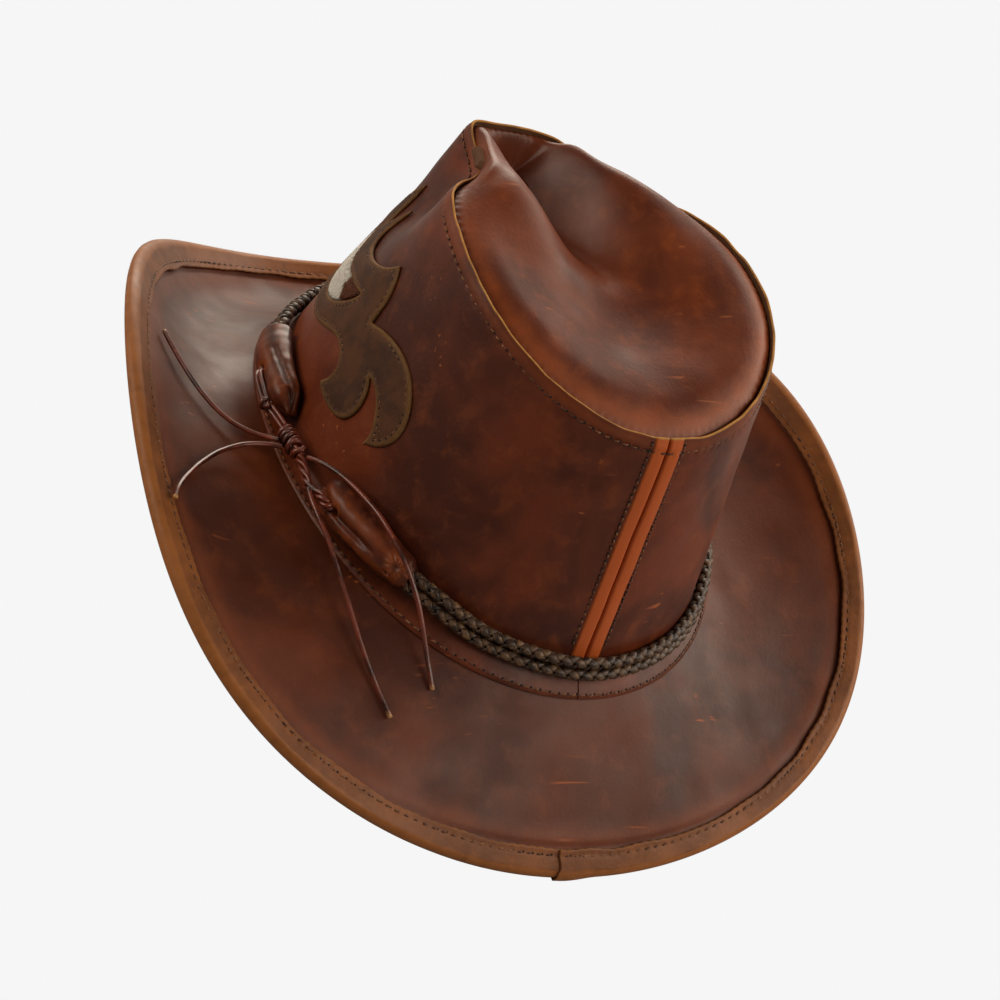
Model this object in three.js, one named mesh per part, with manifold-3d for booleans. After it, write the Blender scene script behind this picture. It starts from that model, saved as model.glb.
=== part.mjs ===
// A leather cowboy hat: crown, shapeable brim, sweatband, braided hatband, lace ties and applique.
// Millimetres, +Z up. The wearer looks along -Y and the wearer's left is +X.
// The origin is the middle of the head opening, level with the join of crown and brim.
// "theta" is the angle round the hat: 0 at the front, 90 at the wearer's left, 180 at the back.
import * as THREE from 'three';
import { mergeVertices } from 'three/addons/utils/BufferGeometryUtils.js';
import Module from 'manifold-3d';

const wasm = await Module();
wasm.setup();

// ---- driving dimensions ----------------------------------------------------------------------
const GAP = 0.35; // clearance between pieces that touch
const ROUND_STEPS = 48; // facets round the hat

const HEAD = { halfWidth: 86.5, halfLength: 105, dip: 3.7 }; // outside of the crown at its base
const TIP = { halfWidth: 68.9, halfLength: 76.7, back: 5.2, height: 110.9, frontLift: 9.7, sideLift: 5.2 };
const LEAN = { left: 10.6, up: 4, narrow: 0.16, right: 2.1 }; // the crown's front leans a little to the left
const PINCH = { back: 2, foot: 0.35 }; // dent in each side of the crown's front
const LEFT_PINCH = { angle: 47, spread: 14, inward: 12.5, drop: 6.2 };
const RIGHT_PINCH = { angle: 43, spread: 19.5, inward: 14.3, drop: 2.4 };
const CORNER = { angle: 27, spread: 13, left: 6, right: 0.4 }; // blunt front corners of the tip
const ROLL = { rise: 4.6, width: 0.22 }; // padded-looking roll just inside the tip seam
const BOWL = { depth: 3.1, start: 0.14, end: 0.83 }; // shallow dish in the top
const CREASE = { depth: 20, halfWidth: 12.2, x: -3.6, lean: 17.6, from: 16.6, to: -53 }; // down the middle
const RIDGE = { rise: 6.7, x: 29, halfWidth: 16.6, from: 46, to: -23 }; // ridges either side of the crease

const BRIM = {
  halfWidth: 165.4, halfLength: 160.2, back: 9.8, backPull: 15.2, squareX: 3.9, squareY: -2.5,
  level: -12.6, frontLift: 20.4, curl: 30.5, curl3: -11, curl4: -4,
};
const SAG = { all: 7.6, front: 9.2, sides: 1.8, quarters: -2 }; // hollow of the brim between its edges

const WALL = 2; // crown leather
const WALL_RISE = 2; // raw edge of the side panel standing above the tip seam
const TIP_LEATHER = 1.8;
const TIP_FLANGE = 9; // turned-down edge of the tip, inside the side panel
const FLANGE = { width: 7.8, thick: 1.4 }; // side panel's turned-out foot on the brim
const PLY = 1.5; // each of the two brim leathers
const PLY_START = 1.9; // how far the brim leathers reach in under the crown's side
const BINDING = { width: 10, thick: 1 };
const WIRE_RADIUS = 1.1;
const SWEATBAND = { from: 0.8, to: 31, thick: 1.2 };
const SEAM = { half: 6, raise: 0.8, slit: 0.4 }; // raised strips either side of the back seam
const CORD_RADIUS = 2.4; // braided hatband cords
const LACE = 2; // diameter of the round leather lace
const THREAD = 0.7;

const rad = THREE.MathUtils.degToRad;
const bell = (x, width) => Math.exp(-((x / width) ** 2));
const ease = (x, from, to) => THREE.MathUtils.smoothstep((x - from) / (to - from), 0, 1);
const V = (x, y, z) => new THREE.Vector3(x, y, z);
const turnFromFront = (theta) => ((((theta + 180) % 360) + 360) % 360) - 180;

// ---- the shape of the crown ------------------------------------------------------------------
function crownBase(theta) {
  const t = rad(theta);
  return V(HEAD.halfWidth * Math.sin(t), -HEAD.halfLength * Math.cos(t), -HEAD.dip * Math.cos(2 * t));
}

function openTip(theta) {
  const t = rad(theta);
  const front = ((1 + Math.cos(t)) / 2) ** 2;
  const x = TIP.halfWidth * Math.sin(t) * (1 - LEAN.narrow * front) + LEAN.left * front;
  const z = TIP.height + TIP.frontLift * Math.cos(t) - TIP.sideLift * Math.cos(2 * t);
  return V(x, TIP.back - TIP.halfLength * Math.cos(t), z + (LEAN.up * front - LEAN.right) * Math.sin(t));
}

function tipShift(theta) {
  const turn = turnFromFront(theta);
  const side = Math.sign(turn);
  const dent = side > 0 ? LEFT_PINCH : RIGHT_PINCH;
  const pinch = bell(Math.abs(turn) - dent.angle, dent.spread);
  const forward = (side > 0 ? CORNER.left : CORNER.right) * bell(Math.abs(turn) - CORNER.angle, CORNER.spread);
  return V(-side * dent.inward * pinch, PINCH.back * pinch - forward, -dent.drop * pinch);
}

const crownSlant = (theta) => openTip(theta).distanceTo(crownBase(theta));

function wallFace(theta, h) {
  const v = h / crownSlant(theta);
  const fade = ease(v, PINCH.foot, 1) ** 1.4;
  const point = crownBase(theta).lerp(openTip(theta), Math.min(v, 1.2));
  return point.addScaledVector(tipShift(theta), fade);
}

// A point of the crown's side, h millimetres up its outer face and "out" millimetres off it.
function wallAt(theta, h, out = 0) {
  const along = wallFace(theta + 0.1, h).sub(wallFace(theta - 0.1, h));
  const up = wallFace(theta, h + 0.1).sub(wallFace(theta, h - 0.1));
  return wallFace(theta, h).addScaledVector(along.cross(up).normalize(), out);
}

// A point of the tip: r runs from 0 in the middle to 1 at the seam.
function tipFace(theta, r, inset) {
  const rim = wallAt(theta, crownSlant(theta), -inset);
  const turn = turnFromFront(theta);
  const x = rim.x * r;
  const y = TIP.back + (rim.y - TIP.back) * r;
  const [t, front] = [rad(turn), ((1 + Math.cos(rad(turn))) / 2) ** 2];
  const lift = (TIP.frontLift * Math.cos(t) + (LEAN.up * front - LEAN.right) * Math.sin(t)) * r
    - TIP.sideLift * Math.cos(2 * t) * r * r;
  const dent = turn > 0 ? LEFT_PINCH : RIGHT_PINCH;
  const pinch = dent.drop * bell(Math.abs(turn) - dent.angle, dent.spread) * r ** 4;
  const roll = ROLL.rise * (1 - Math.max(1 - (1 - r) / ROLL.width, 0) ** 2);
  const bowl = (ROLL.rise + BOWL.depth) * ease(1 - r, BOWL.start, BOWL.end);
  const inside = ease(1 - r, 0, 0.1);
  const off = x - CREASE.x - CREASE.lean * ease(y, 20, -60);
  const crease = CREASE.depth * bell(off, CREASE.halfWidth) * ease(y, CREASE.from, CREASE.to);
  const ridge = RIDGE.rise * bell(Math.abs(off) - RIDGE.x, RIDGE.halfWidth) * ease(y, RIDGE.from, RIDGE.to);
  const z = TIP.height + lift - pinch + roll - bowl + inside * (ridge - crease);
  return V(x, y, z);
}

// ---- the shape of the brim -------------------------------------------------------------------
function brimEdge(theta) {
  const t = rad(theta);
  const c = [1, 2, 3, 4].map((n) => Math.cos(n * t));
  const x = BRIM.halfWidth * Math.sin(t) + BRIM.squareX * Math.sin(3 * t);
  const y = BRIM.back - BRIM.halfLength * c[0] - BRIM.backPull * c[1] + BRIM.squareY * c[2];
  const z = BRIM.level + BRIM.frontLift * c[0] - BRIM.curl * c[1] + BRIM.curl3 * c[2] + BRIM.curl4 * c[3];
  return V(x, y, z);
}

const brimWidth = (theta) => brimEdge(theta).distanceTo(crownBase(theta));

function brimFace(theta, w) {
  const t = rad(theta);
  const sag = SAG.all + SAG.front * Math.cos(t) + SAG.sides * Math.cos(2 * t)
    + SAG.quarters * Math.cos(4 * t);
  const point = crownBase(theta).lerp(brimEdge(theta), w);
  point.z -= 4 * sag * Math.max(w, 0) * (1 - w);
  return point;
}

function brimAt(theta, w, up = 0) {
  const along = brimFace(theta + 0.1, w).sub(brimFace(theta - 0.1, w));
  const outward = brimFace(theta, w + 0.001).sub(brimFace(theta, w - 0.001));
  return brimFace(theta, w).addScaledVector(outward.cross(along).normalize(), up);
}

// d is measured out from the crown, or with a minus sign in from the brim's edge.
const brimOut = (theta, d, up) => brimAt(theta, d / brimWidth(theta), up);
const brimIn = (theta, d, up) => brimAt(theta, 1 - d / brimWidth(theta), up);

// ---- bodies ----------------------------------------------------------------------------------
function closedGeometry(faces) {
  const soup = faces.flat().flatMap((p) => p.toArray().map((n) => Math.round(n * 1e4) / 1e4));
  const geometry = new THREE.BufferGeometry();
  geometry.setAttribute('position', new THREE.Float32BufferAttribute(soup, 3));
  const merged = mergeVertices(geometry, 1e-4);
  const index = [...merged.index.array];
  const position = merged.attributes.position;
  const kept = [];
  let volume = 0;
  for (let i = 0; i < index.length; i += 3) {
    const [a, b, c] = index.slice(i, i + 3);
    if (a === b || b === c || c === a) continue;
    kept.push([a, b, c]);
    const [p, q, s] = [a, b, c].map((n) => new THREE.Vector3().fromBufferAttribute(position, n));
    volume += p.dot(q.cross(s));
  }
  merged.setIndex(kept.flatMap(([a, b, c]) => (volume > 0 ? [a, b, c] : [a, c, b])));
  return merged;
}

// Leather between two faces. Each section is a row of [outer, inner] points across the strip.
function leather(sections, ring) {
  const faces = [];
  const quad = (a, b, c, d) => faces.push([a, b, c], [a, c, d]);
  const count = sections.length;
  const last = sections[0].length - 1;
  for (let i = 0; i < (ring ? count : count - 1); i += 1) {
    const here = sections[i];
    const next = sections[(i + 1) % count];
    for (let j = 0; j < last; j += 1) {
      quad(here[j][0], here[j + 1][0], next[j + 1][0], next[j][0]);
      faces.push([here[j][1], next[j][1], next[j + 1][1]], [here[j][1], next[j + 1][1], here[j + 1][1]]);
    }
    quad(here[0][1], here[0][0], next[0][0], next[0][1]);
    quad(here[last][0], here[last][1], next[last][1], next[last][0]);
  }
  if (!ring) {
    for (let j = 0; j < last; j += 1) {
      const [a, b] = [sections[0][j], sections[0][j + 1]];
      const [c, d] = [sections[count - 1][j], sections[count - 1][j + 1]];
      quad(a[0], a[1], b[1], b[0]);
      quad(c[1], c[0], d[0], d[1]);
    }
  }
  return closedGeometry(faces);
}

// A body through a row of closed loops, with its two ends closed.
function loft(loops) {
  const faces = [];
  const sides = loops[0].length;
  const middle = (loop) => loop.reduce((sum, p) => sum.add(p), V(0, 0, 0)).divideScalar(sides);
  const [start, end] = [middle(loops[0]), middle(loops[loops.length - 1])];
  for (let j = 0; j < sides; j += 1) {
    const k = (j + 1) % sides;
    for (let i = 0; i + 1 < loops.length; i += 1) {
      const [a, b, c, d] = [loops[i][j], loops[i][k], loops[i + 1][k], loops[i + 1][j]];
      faces.push([a, b, c], [a, c, d]);
    }
    faces.push([start, loops[0][k], loops[0][j]]);
    faces.push([end, loops[loops.length - 1][j], loops[loops.length - 1][k]]);
  }
  return closedGeometry(faces);
}

// A round cord along a smooth curve through the points.
function cord(points, radius, steps, sides = 8) {
  const circle = new THREE.Shape();
  for (let i = 0; i < sides; i += 1) {
    const a = (i / sides) * 2 * Math.PI;
    circle[i ? 'lineTo' : 'moveTo'](radius * Math.cos(a), radius * Math.sin(a));
  }
  const path = new THREE.CatmullRomCurve3(points);
  return new THREE.ExtrudeGeometry(circle, { steps, extrudePath: path, bevelEnabled: false });
}

function roundTheHat(section) {
  return Array.from({ length: ROUND_STEPS }, (_, i) => section((i * 360) / ROUND_STEPS));
}

// Angles from one end to the other of a strip that is butted at the back.
function buttedAngles(slit, extra = []) {
  const end = (slit / 2 / HEAD.halfWidth) * (180 / Math.PI);
  const edges = [end, ...extra];
  const middle = Array.from({ length: ROUND_STEPS - 1 }, (_, i) => -180 + ((i + 1) * 360) / ROUND_STEPS);
  return [...edges.map((e) => e - 180), ...middle, ...edges.reverse().map((e) => 180 - e)];
}

const solids = {};

// ---- crown -----------------------------------------------------------------------------------
// Heights at which the side panel's facets meet, from just under its top edge down to its foot.
function panelHeights(theta) {
  const slant = crownSlant(theta);
  return [slant - 6, ...[0.84, 0.68, 0.49, 0.29].map((v) => v * slant), FLANGE.thick + 0.9];
}

function sidePanel() {
  const perDegree = (HEAD.halfWidth * Math.PI) / 180;
  const flat = SEAM.half / perDegree;
  const angles = buttedAngles(SEAM.slit, [0.6, flat - 0.3, flat + 0.4]);
  const sections = angles.map((theta) => {
    const away = (180 - Math.abs(turnFromFront(theta))) * perDegree;
    const raise = SEAM.raise * ease(away, 0.3, 1.2) * (1 - ease(away, SEAM.half - 0.4, SEAM.half + 0.6));
    const top = crownSlant(theta) + WALL_RISE;
    const rungs = [top, ...panelHeights(theta)].map((h, i) => {
      const outer = wallAt(theta, h, i === 0 ? raise / 2 : raise);
      return [outer, wallAt(theta, h, -WALL)];
    });
    const foot = [
      [brimOut(theta, 1, GAP + FLANGE.thick), brimOut(theta, -PLY_START, GAP)],
      [brimOut(theta, 2, GAP + FLANGE.thick), brimOut(theta, 1, GAP)],
      [brimOut(theta, FLANGE.width, GAP + FLANGE.thick), brimOut(theta, FLANGE.width, GAP)],
    ];
    return [...rungs, ...foot];
  });
  return leather(sections, false);
}

function crownTip() {
  const inset = WALL + GAP;
  const rings = [0.97, 0.93, 0.86, 0.76, 0.64, 0.5, 0.34, 0.17, 0];
  const sections = roundTheHat((theta) => {
    const top = crownSlant(theta);
    const edge = [top - TIP_FLANGE, top - 0.5].map((h) => (
      [wallAt(theta, h, -inset), wallAt(theta, h - 0.3, -inset - TIP_LEATHER)]));
    const cover = rings.map((r) => {
      const outer = tipFace(theta, r, inset);
      const near = (1 - r) * 2;
      const innerR = Math.max(r - 0.02 * Math.min(near * 8, 1), 0);
      const inner = tipFace(theta, innerR, inset + (r > 0.9 ? 0.6 : 0));
      return [outer, inner.setZ(inner.z - TIP_LEATHER)];
    });
    return [...edge, ...cover];
  });
  return leather(sections, true);
}

solids.crown_side_panel = sidePanel();
solids.crown_tip = crownTip();

// ---- brim ------------------------------------------------------------------------------------
const EDGE_CENTRE = BINDING.thick + PLY + GAP * 1.9; // half the thickness of the bound edge
const PLY_END = EDGE_CENTRE + WIRE_RADIUS + GAP; // plies stop short of the wire
const brimMiddle = -(PLY + GAP / 2);

function brimPly(top) {
  return leather(roundTheHat((theta) => {
    const width = brimWidth(theta);
    const stops = [-PLY_START, 1, FLANGE.width, width * 0.34, width * 0.6, width - BINDING.width - 1,
      width - PLY_END];
    return stops.map((d) => [brimOut(theta, d, top), brimOut(theta, d, top - PLY)]);
  }), true);
}

function binding() {
  const arc = [60, 0, -60];
  const outer = EDGE_CENTRE;
  const inner = EDGE_CENTRE - BINDING.thick;
  const sections = buttedAngles(0.5).map((theta) => {
    const leg = (d, side) => [
      brimIn(theta, d, brimMiddle + side * outer), brimIn(theta, d, brimMiddle + side * inner)];
    const bend = arc.map((a) => [outer, inner].map((r) => (
      brimIn(theta, EDGE_CENTRE - r * Math.cos(rad(a)), brimMiddle + r * Math.sin(rad(a))))));
    const stops = [BINDING.width, EDGE_CENTRE];
    return [...stops.map((d) => leg(d, 1)), ...bend, ...stops.reverse().map((d) => leg(d, -1))];
  });
  return leather(sections, false);
}

function ringTube(centre, radius, sides) {
  const sections = roundTheHat((theta) => {
    const [point, across, up] = centre(theta);
    return Array.from({ length: sides }, (_, i) => {
      const a = ((i + 0.5) / sides) * 2 * Math.PI;
      const corner = point.clone().addScaledVector(across, radius * Math.cos(a));
      return corner.addScaledVector(up, radius * Math.sin(a));
    });
  });
  const faces = [];
  sections.forEach((here, i) => {
    const next = sections[(i + 1) % sections.length];
    here.forEach((p, j) => {
      const k = (j + 1) % sides;
      faces.push([p, here[k], next[k]], [p, next[k], next[j]]);
    });
  });
  return closedGeometry(faces);
}

function brimFrame(theta, d, up) {
  const point = brimIn(theta, d, up);
  const normal = brimIn(theta, d, up + 1).sub(point).normalize();
  const outward = brimIn(theta, d - 1, up).sub(point).normalize();
  return [point, outward, normal];
}

function wallFrame(theta, h, out) {
  const point = wallAt(theta, h, out);
  const normal = wallAt(theta, h, out + 1).sub(point).normalize();
  const upward = wallAt(theta, h + 1, out).sub(point).normalize();
  return [point, normal, upward];
}

solids.brim_upper = brimPly(0);
solids.brim_lower = brimPly(-PLY - GAP);
solids.brim_wire = ringTube((theta) => brimFrame(theta, EDGE_CENTRE, brimMiddle), WIRE_RADIUS, 6);
solids.brim_binding = binding();

// ---- sweatband, inside the crown -------------------------------------------------------------
solids.sweatband = leather(buttedAngles(0.6).map((theta) => (
  [SWEATBAND.to, (SWEATBAND.from + SWEATBAND.to) / 2, SWEATBAND.from].map((h) => [
    wallAt(theta, h, -WALL - GAP), wallAt(theta, h, -WALL - GAP - SWEATBAND.thick)]))), false);

// ---- rows of thread --------------------------------------------------------------------------
const threadOff = THREAD / 2 + GAP;
solids.thread_tip_seam = ringTube((theta) => {
  const overSeam = bell(180 - Math.abs(turnFromFront(theta)), 5);
  return wallFrame(theta, crownSlant(theta) - 2.5, threadOff + overSeam);
}, THREAD / 2, 4);
solids.thread_crown_foot = ringTube((theta) => {
  const [d, up] = [FLANGE.width - 1.6, FLANGE.thick + GAP + threadOff];
  const point = brimOut(theta, d, up);
  const normal = brimOut(theta, d, up + 1).sub(point).normalize();
  const along = wallAt(theta + 1, 0).sub(wallAt(theta, 0)).normalize();
  return [point, V(0, 0, 1).cross(along), normal];
}, THREAD / 2, 4);
solids.thread_binding = ringTube((theta) => (
  brimFrame(theta, BINDING.width - 1.8, brimMiddle + EDGE_CENTRE + threadOff)), THREAD / 2, 4);

function backSeamThread(side) {
  const theta = 180 - side * ((SEAM.half + 1.6) / HEAD.halfWidth) * (180 / Math.PI);
  const heights = [17, 40, 65, 90, crownSlant(theta) - 6];
  return cord(heights.map((h) => wallAt(theta, h, threadOff + 0.1)), THREAD / 2, 10, 4);
}
solids.thread_back_seam_left = backSeamThread(1);
solids.thread_back_seam_right = backSeamThread(-1);

// ---- braided hatband: two cords, held at each end in a leather tab ---------------------------
const FRONT_TAB = { from: 56, to: 84, taper: 0.6 };
const REAR_TAB = { from: 132, to: 104, taper: 0.42 };
const CORD_ENDS = { front: 75, rear: 113 };
const CORD_PITCH = 2 * CORD_RADIUS + GAP;
const TAB = { below: 6.9, above: 9.8, inward: 4.4, outward: 7.8, lift: 2.8, standOff: 1.9 };
const TAB_HOLLOW = { tall: CORD_PITCH / 2 + CORD_RADIUS + GAP + 0.7, wide: CORD_RADIUS + GAP + 0.45 };

// How far the hatband has left the crown and foot: 1 where a tab's leather passes behind it.
const inTab = (theta) => ease(Math.abs(turnFromFront(theta - 94)), 60, 42);

// Middle of the hatband: height up the side, and distance off it, also over the raised back seam.
function bandMiddle(theta) {
  const overSeam = bell(180 - Math.abs(turnFromFront(theta)), 9);
  const h = FLANGE.thick + GAP + CORD_RADIUS + 0.5 + CORD_PITCH / 2 + TAB.lift * inTab(theta);
  return [h, CORD_RADIUS + 0.65 + TAB.standOff * inTab(theta) + SEAM.raise * overSeam];
}

function hatbandCord(level) {
  const sweep = 360 - (CORD_ENDS.rear - CORD_ENDS.front);
  const points = Array.from({ length: 61 }, (_, i) => {
    const theta = CORD_ENDS.front - (i * sweep) / 60;
    const [h, out] = bandMiddle(theta);
    return wallAt(theta, h + (level * CORD_PITCH) / 2, out);
  });
  return cord(points, CORD_RADIUS, 64, 8);
}
solids.hatband_cord_lower = hatbandCord(-1);
solids.hatband_cord_upper = hatbandCord(1);

// One cross-section of a tab: flatter against the crown, fuller on the outside.
function tabLoop(theta, below, above, inward, outward) {
  const [h, out] = bandMiddle(theta);
  return Array.from({ length: 12 }, (_, i) => {
    const [c, s] = [Math.cos((i / 6) * Math.PI), Math.sin((i / 6) * Math.PI)];
    return wallAt(theta, h + s * (s > 0 ? above : below), out + c * (c > 0 ? outward : inward));
  });
}

// A tab is a leather pod: open at its mouth, where the cords go in, and closed where the lace ties on.
function tab({ from, to, taper }) {
  const span = to - from;
  const { tall, wide } = TAB_HOLLOW;
  const hollow = [0.74, 0.5, 0.25, 0].map((s) => tabLoop(from + s * span, tall, tall, wide, wide + 0.4));
  const outside = [0, 0.12, 0.3, 0.5, 0.7, 0.86, 0.96, 1].map((s) => {
    const size = 0.8 + 0.2 * ease(s, 0, 0.35) - taper * ease(s, 0.78, 1) ** 2;
    return tabLoop(from + s * span, TAB.below * size, TAB.above * size, TAB.inward, TAB.outward * size);
  });
  return loft([...hollow, ...outside]);
}
solids.front_tab = tab(FRONT_TAB);
solids.rear_tab = tab(REAR_TAB);

// ---- lace: ties the two tabs together and ends in four loose tails ---------------------------
const at = (rows) => rows.map(([x, y, z]) => V(x, y, z));
const KNOT = { x: 92.5, y: 4, z: 13.5, halfLength: 7.5, radius: 4.2 };

function laceKnot() {
  const axis = V(-0.12, 0.97, 0.05).normalize();
  const across = V(0, 0, 1).cross(axis).normalize();
  const up = axis.clone().cross(across);
  const loops = [-1, -0.8, -0.35, 0.2, 0.7, 1].map((s) => {
    const size = KNOT.radius * Math.sqrt(Math.max(1 - s * s * 0.8, 0.1));
    return Array.from({ length: 10 }, (_, i) => {
      const a = (i / 5) * Math.PI;
      return V(KNOT.x, KNOT.y, KNOT.z).addScaledVector(axis, s * KNOT.halfLength)
        .addScaledVector(across, size * Math.cos(a)).addScaledVector(up, size * Math.sin(a));
    });
  });
  return loft(loops);
}
solids.lace_knot = laceKnot();

// Middle lines of the loose tails; each lies over the brim and comes to rest on it.
const LACE_TAILS = {
  lace_tail_front_upper: [
    [97.4, 1.5, 12.6], [99.2, 0, 11.7], [101, -1.5, 11], [103.2, -3.2, 10.2], [105.5, -5, 9.6],
    [110, -9.5, 8.8], [112.1, -12, 8.7], [114, -14.5, 8.8], [115.8, -17.4, 9], [117.5, -20.5, 9.3],
    [120.5, -27, 10.2], [123, -34, 11.3], [125, -41.5, 12.4], [126.5, -48, 13.4], [127.6, -53.5, 14.2],
  ],
  lace_tail_front_lower: [
    [97.4, 5.5, 12.6], [99.6, 4.4, 12.1], [102, 3.5, 11.6], [107, 2.8, 10.8], [109.8, 2.9, 10.5],
    [112.5, 3.2, 10.2], [118, 4.8, 9.8], [121, 6.1, 9.7], [124, 7.6, 9.8], [130, 11.6, 10],
    [136, 16.4, 10.6], [141.5, 21.5, 11.2], [146.5, 26.6, 11.9], [150.5, 31.6, 12.4], [153.4, 36.5, 12.3],
  ],
  lace_tail_rear_upper: [
    [90.4, 13.5, 15.5], [89.3, 18.5, 18.5], [88, 24.5, 21.4], [86.2, 31, 23.6], [84, 38, 24.8],
    [81.8, 46, 25.6], [79.4, 54.2, 25.6], [77, 62.3, 24.2], [74.2, 70, 21.4], [71.2, 77, 17],
    [68.2, 83, 11.6], [65.4, 88, 5.4], [62.8, 92.6, -1], [60.6, 97, -6.6], [58, 103.5, -13.6],
  ],
  lace_tail_rear_lower: [
    [97.4, 31.5, 16.5], [97.8, 35, 16.2], [97.8, 38.4, 15.8], [96.8, 45, 14.2], [95, 51.2, 11.8],
    [93.2, 57.6, 8.6], [92.1, 61, 6.6], [91, 64.2, 4.6], [89.2, 71.6, 0.8], [87.2, 79, -3.4],
    [85, 86.4, -7.8], [82.4, 93.8, -12.2], [81, 97.4, -14.3], [79.6, 101, -16.4], [75.4, 111, -21.5],
  ],
};
for (const [name, route] of Object.entries(LACE_TAILS)) {
  solids[name] = cord(at(route), LACE / 2, 2 * route.length + 6, 8);
}

// Doubled lace from the front tab to the knot, and the twisted run from the knot to the rear tab.
const FRONT_RUN = [[96.6, -25, 13.5], [97.2, -18, 14.6], [95.4, -11, 14.8], [93.6, -4.8, 14.2]];
const REAR_RUN = [[91.6, 12.8, 12.8], [91.8, 20, 11.8], [93.6, 27, 12], [94.3, 33, 12.8]];
solids.lace_front = cord(at(FRONT_RUN), 1.6, 10, 8);
solids.lace_rear = cord(at(REAR_RUN), 1.9, 10, 8);

// ---- applique on the left of the crown -------------------------------------------------------
const APPLIQUE = { thick: 1.3, inlayThick: 0.9, inlayInset: 0.5 };
// Corners of the outlines, as degrees round the hat and millimetres up the crown's side.
const OVERLAY_OUTLINE = [
  [45, 87], [46.5, 79], [48.5, 72.5], [53.5, 69], [60, 70], [66.5, 73.5], [72, 78.5], [76.5, 85.5],
  [79.5, 81], [81.7, 75], [82.4, 68.5], [82.8, 62.5], [88, 66], [94, 68.2], [100, 67.6], [104.6, 64.5],
  [108.4, 58], [110.4, 50], [110, 42.5], [107.4, 36], [103.8, 31.8], [104, 36.6], [102.4, 42.2],
  [99.8, 47.2], [96.8, 50], [94, 50.6], [96, 46], [97, 40.5], [96.8, 35], [95.2, 30], [92, 27.2],
  [88, 26.4], [84.6, 26.7], [82, 28], [83.6, 33.2], [83.4, 38.2], [81.4, 41.8], [78, 43.4], [74, 42.3],
  [69, 38.3], [62.5, 33], [56, 30.2], [49.5, 29.8], [43.5, 32.4], [39, 38], [36, 46], [34.4, 56],
  [33.6, 66], [33.4, 76], [34.4, 86], [36.8, 95], [38.6, 87], [39.8, 79.5], [41.8, 73], [43.6, 79],
];
const WINDOW_OUTLINE = [
  [53, 39.8], [58, 41.6], [62.8, 45.6], [66.6, 50.8], [69.6, 56.4], [71.4, 61.8], [66.5, 59.2], [60, 57],
  [53.5, 55.4], [47.5, 57], [43, 61.5], [40, 67], [38.6, 60], [38.8, 52.5], [41.6, 45.6], [46.8, 41],
];

// A slice of leather lying on the left side of the crown.
function wallSlice(from, to) {
  const step = 360 / ROUND_STEPS;
  const angles = Array.from({ length: 13 }, (_, i) => (i + 3.5) * step + step / 2);
  const rows = (theta) => [crownSlant(theta), ...panelHeights(theta).slice(0, -1), 12];
  const sections = angles.map((theta) => (
    rows(theta).map((h) => [wallAt(theta, h, to), wallAt(theta, h, from)])));
  return leather(sections, false);
}

// The outline seen from the wearer's left, pulled in all round by "inset", as a long prism.
function outlinePrism(outline, inset) {
  const seen = outline.map(([theta, h]) => wallAt(theta, h)).map((p) => new THREE.Vector2(p.y, p.z));
  const turn = THREE.ShapeUtils.isClockWise(seen) ? -1 : 1;
  const shape = new THREE.Shape(seen.map((p, i) => {
    const before = p.clone().sub(seen.at(i - 1)).normalize();
    const after = seen[(i + 1) % seen.length].clone().sub(p).normalize();
    const inward = before.add(after).normalize().rotateAround(new THREE.Vector2(), (turn * Math.PI) / 2);
    return p.clone().addScaledVector(inward, inset);
  }));
  const prism = new THREE.ExtrudeGeometry(shape, { depth: 90, bevelEnabled: false });
  prism.applyMatrix4(new THREE.Matrix4().makeBasis(V(0, 1, 0), V(0, 0, 1), V(1, 0, 0)));
  return prism.translate(20, 0, 0);
}

function toSolid(geometry) {
  const bare = geometry.clone();
  bare.deleteAttribute('normal');
  bare.deleteAttribute('uv');
  const merged = mergeVertices(bare, 1e-4);
  return new wasm.Manifold(new wasm.Mesh({
    numProp: 3,
    vertProperties: Float32Array.from(merged.attributes.position.array),
    triVerts: Uint32Array.from(merged.index.array),
  }));
}

function toGeometry(solid) {
  const mesh = solid.getMesh();
  const geometry = new THREE.BufferGeometry();
  geometry.setAttribute('position', new THREE.BufferAttribute(Float32Array.from(mesh.vertProperties), 3));
  geometry.setIndex(Array.from(mesh.triVerts));
  return geometry;
}

const overlaySlice = toSolid(wallSlice(GAP, GAP + APPLIQUE.thick));
const inlaySlice = toSolid(wallSlice(GAP, GAP + APPLIQUE.inlayThick));
const overlayPrism = toSolid(outlinePrism(OVERLAY_OUTLINE, 0));
const windowPrism = toSolid(outlinePrism(WINDOW_OUTLINE, 0));
const inlayPrism = toSolid(outlinePrism(WINDOW_OUTLINE, APPLIQUE.inlayInset));
solids.applique_overlay = toGeometry(overlaySlice.intersect(overlayPrism).subtract(windowPrism));
solids.applique_inlay = toGeometry(inlaySlice.intersect(inlayPrism));

// ---- colours and the finished hat ------------------------------------------------------------
const FINISHES = {
  crown: { color: 0x5a2a14, roughness: 0.5 },
  binding: { color: 0x6b4526, roughness: 0.6 },
  braid: { color: 0x2a2320, roughness: 0.55 },
  lace: { color: 0x6e2a18, roughness: 0.4 },
  applique: { color: 0x5a432e, roughness: 0.75 },
  inlay: { color: 0xe4ddd2, roughness: 0.9 },
  sweatband: { color: 0x3a2a20, roughness: 0.7 },
  thread: { color: 0x4a3322, roughness: 0.8 },
  wire: { color: 0x9a9a98, roughness: 0.35, metalness: 1 },
};
const FINISH_OF = [
  [/^brim_binding/, 'binding'], [/^brim_wire/, 'wire'], [/^hatband/, 'braid'], [/^lace/, 'lace'],
  [/^applique_overlay/, 'applique'], [/^applique_inlay/, 'inlay'], [/^sweatband/, 'sweatband'],
  [/^thread/, 'thread'], [/./, 'crown'],
];

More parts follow.
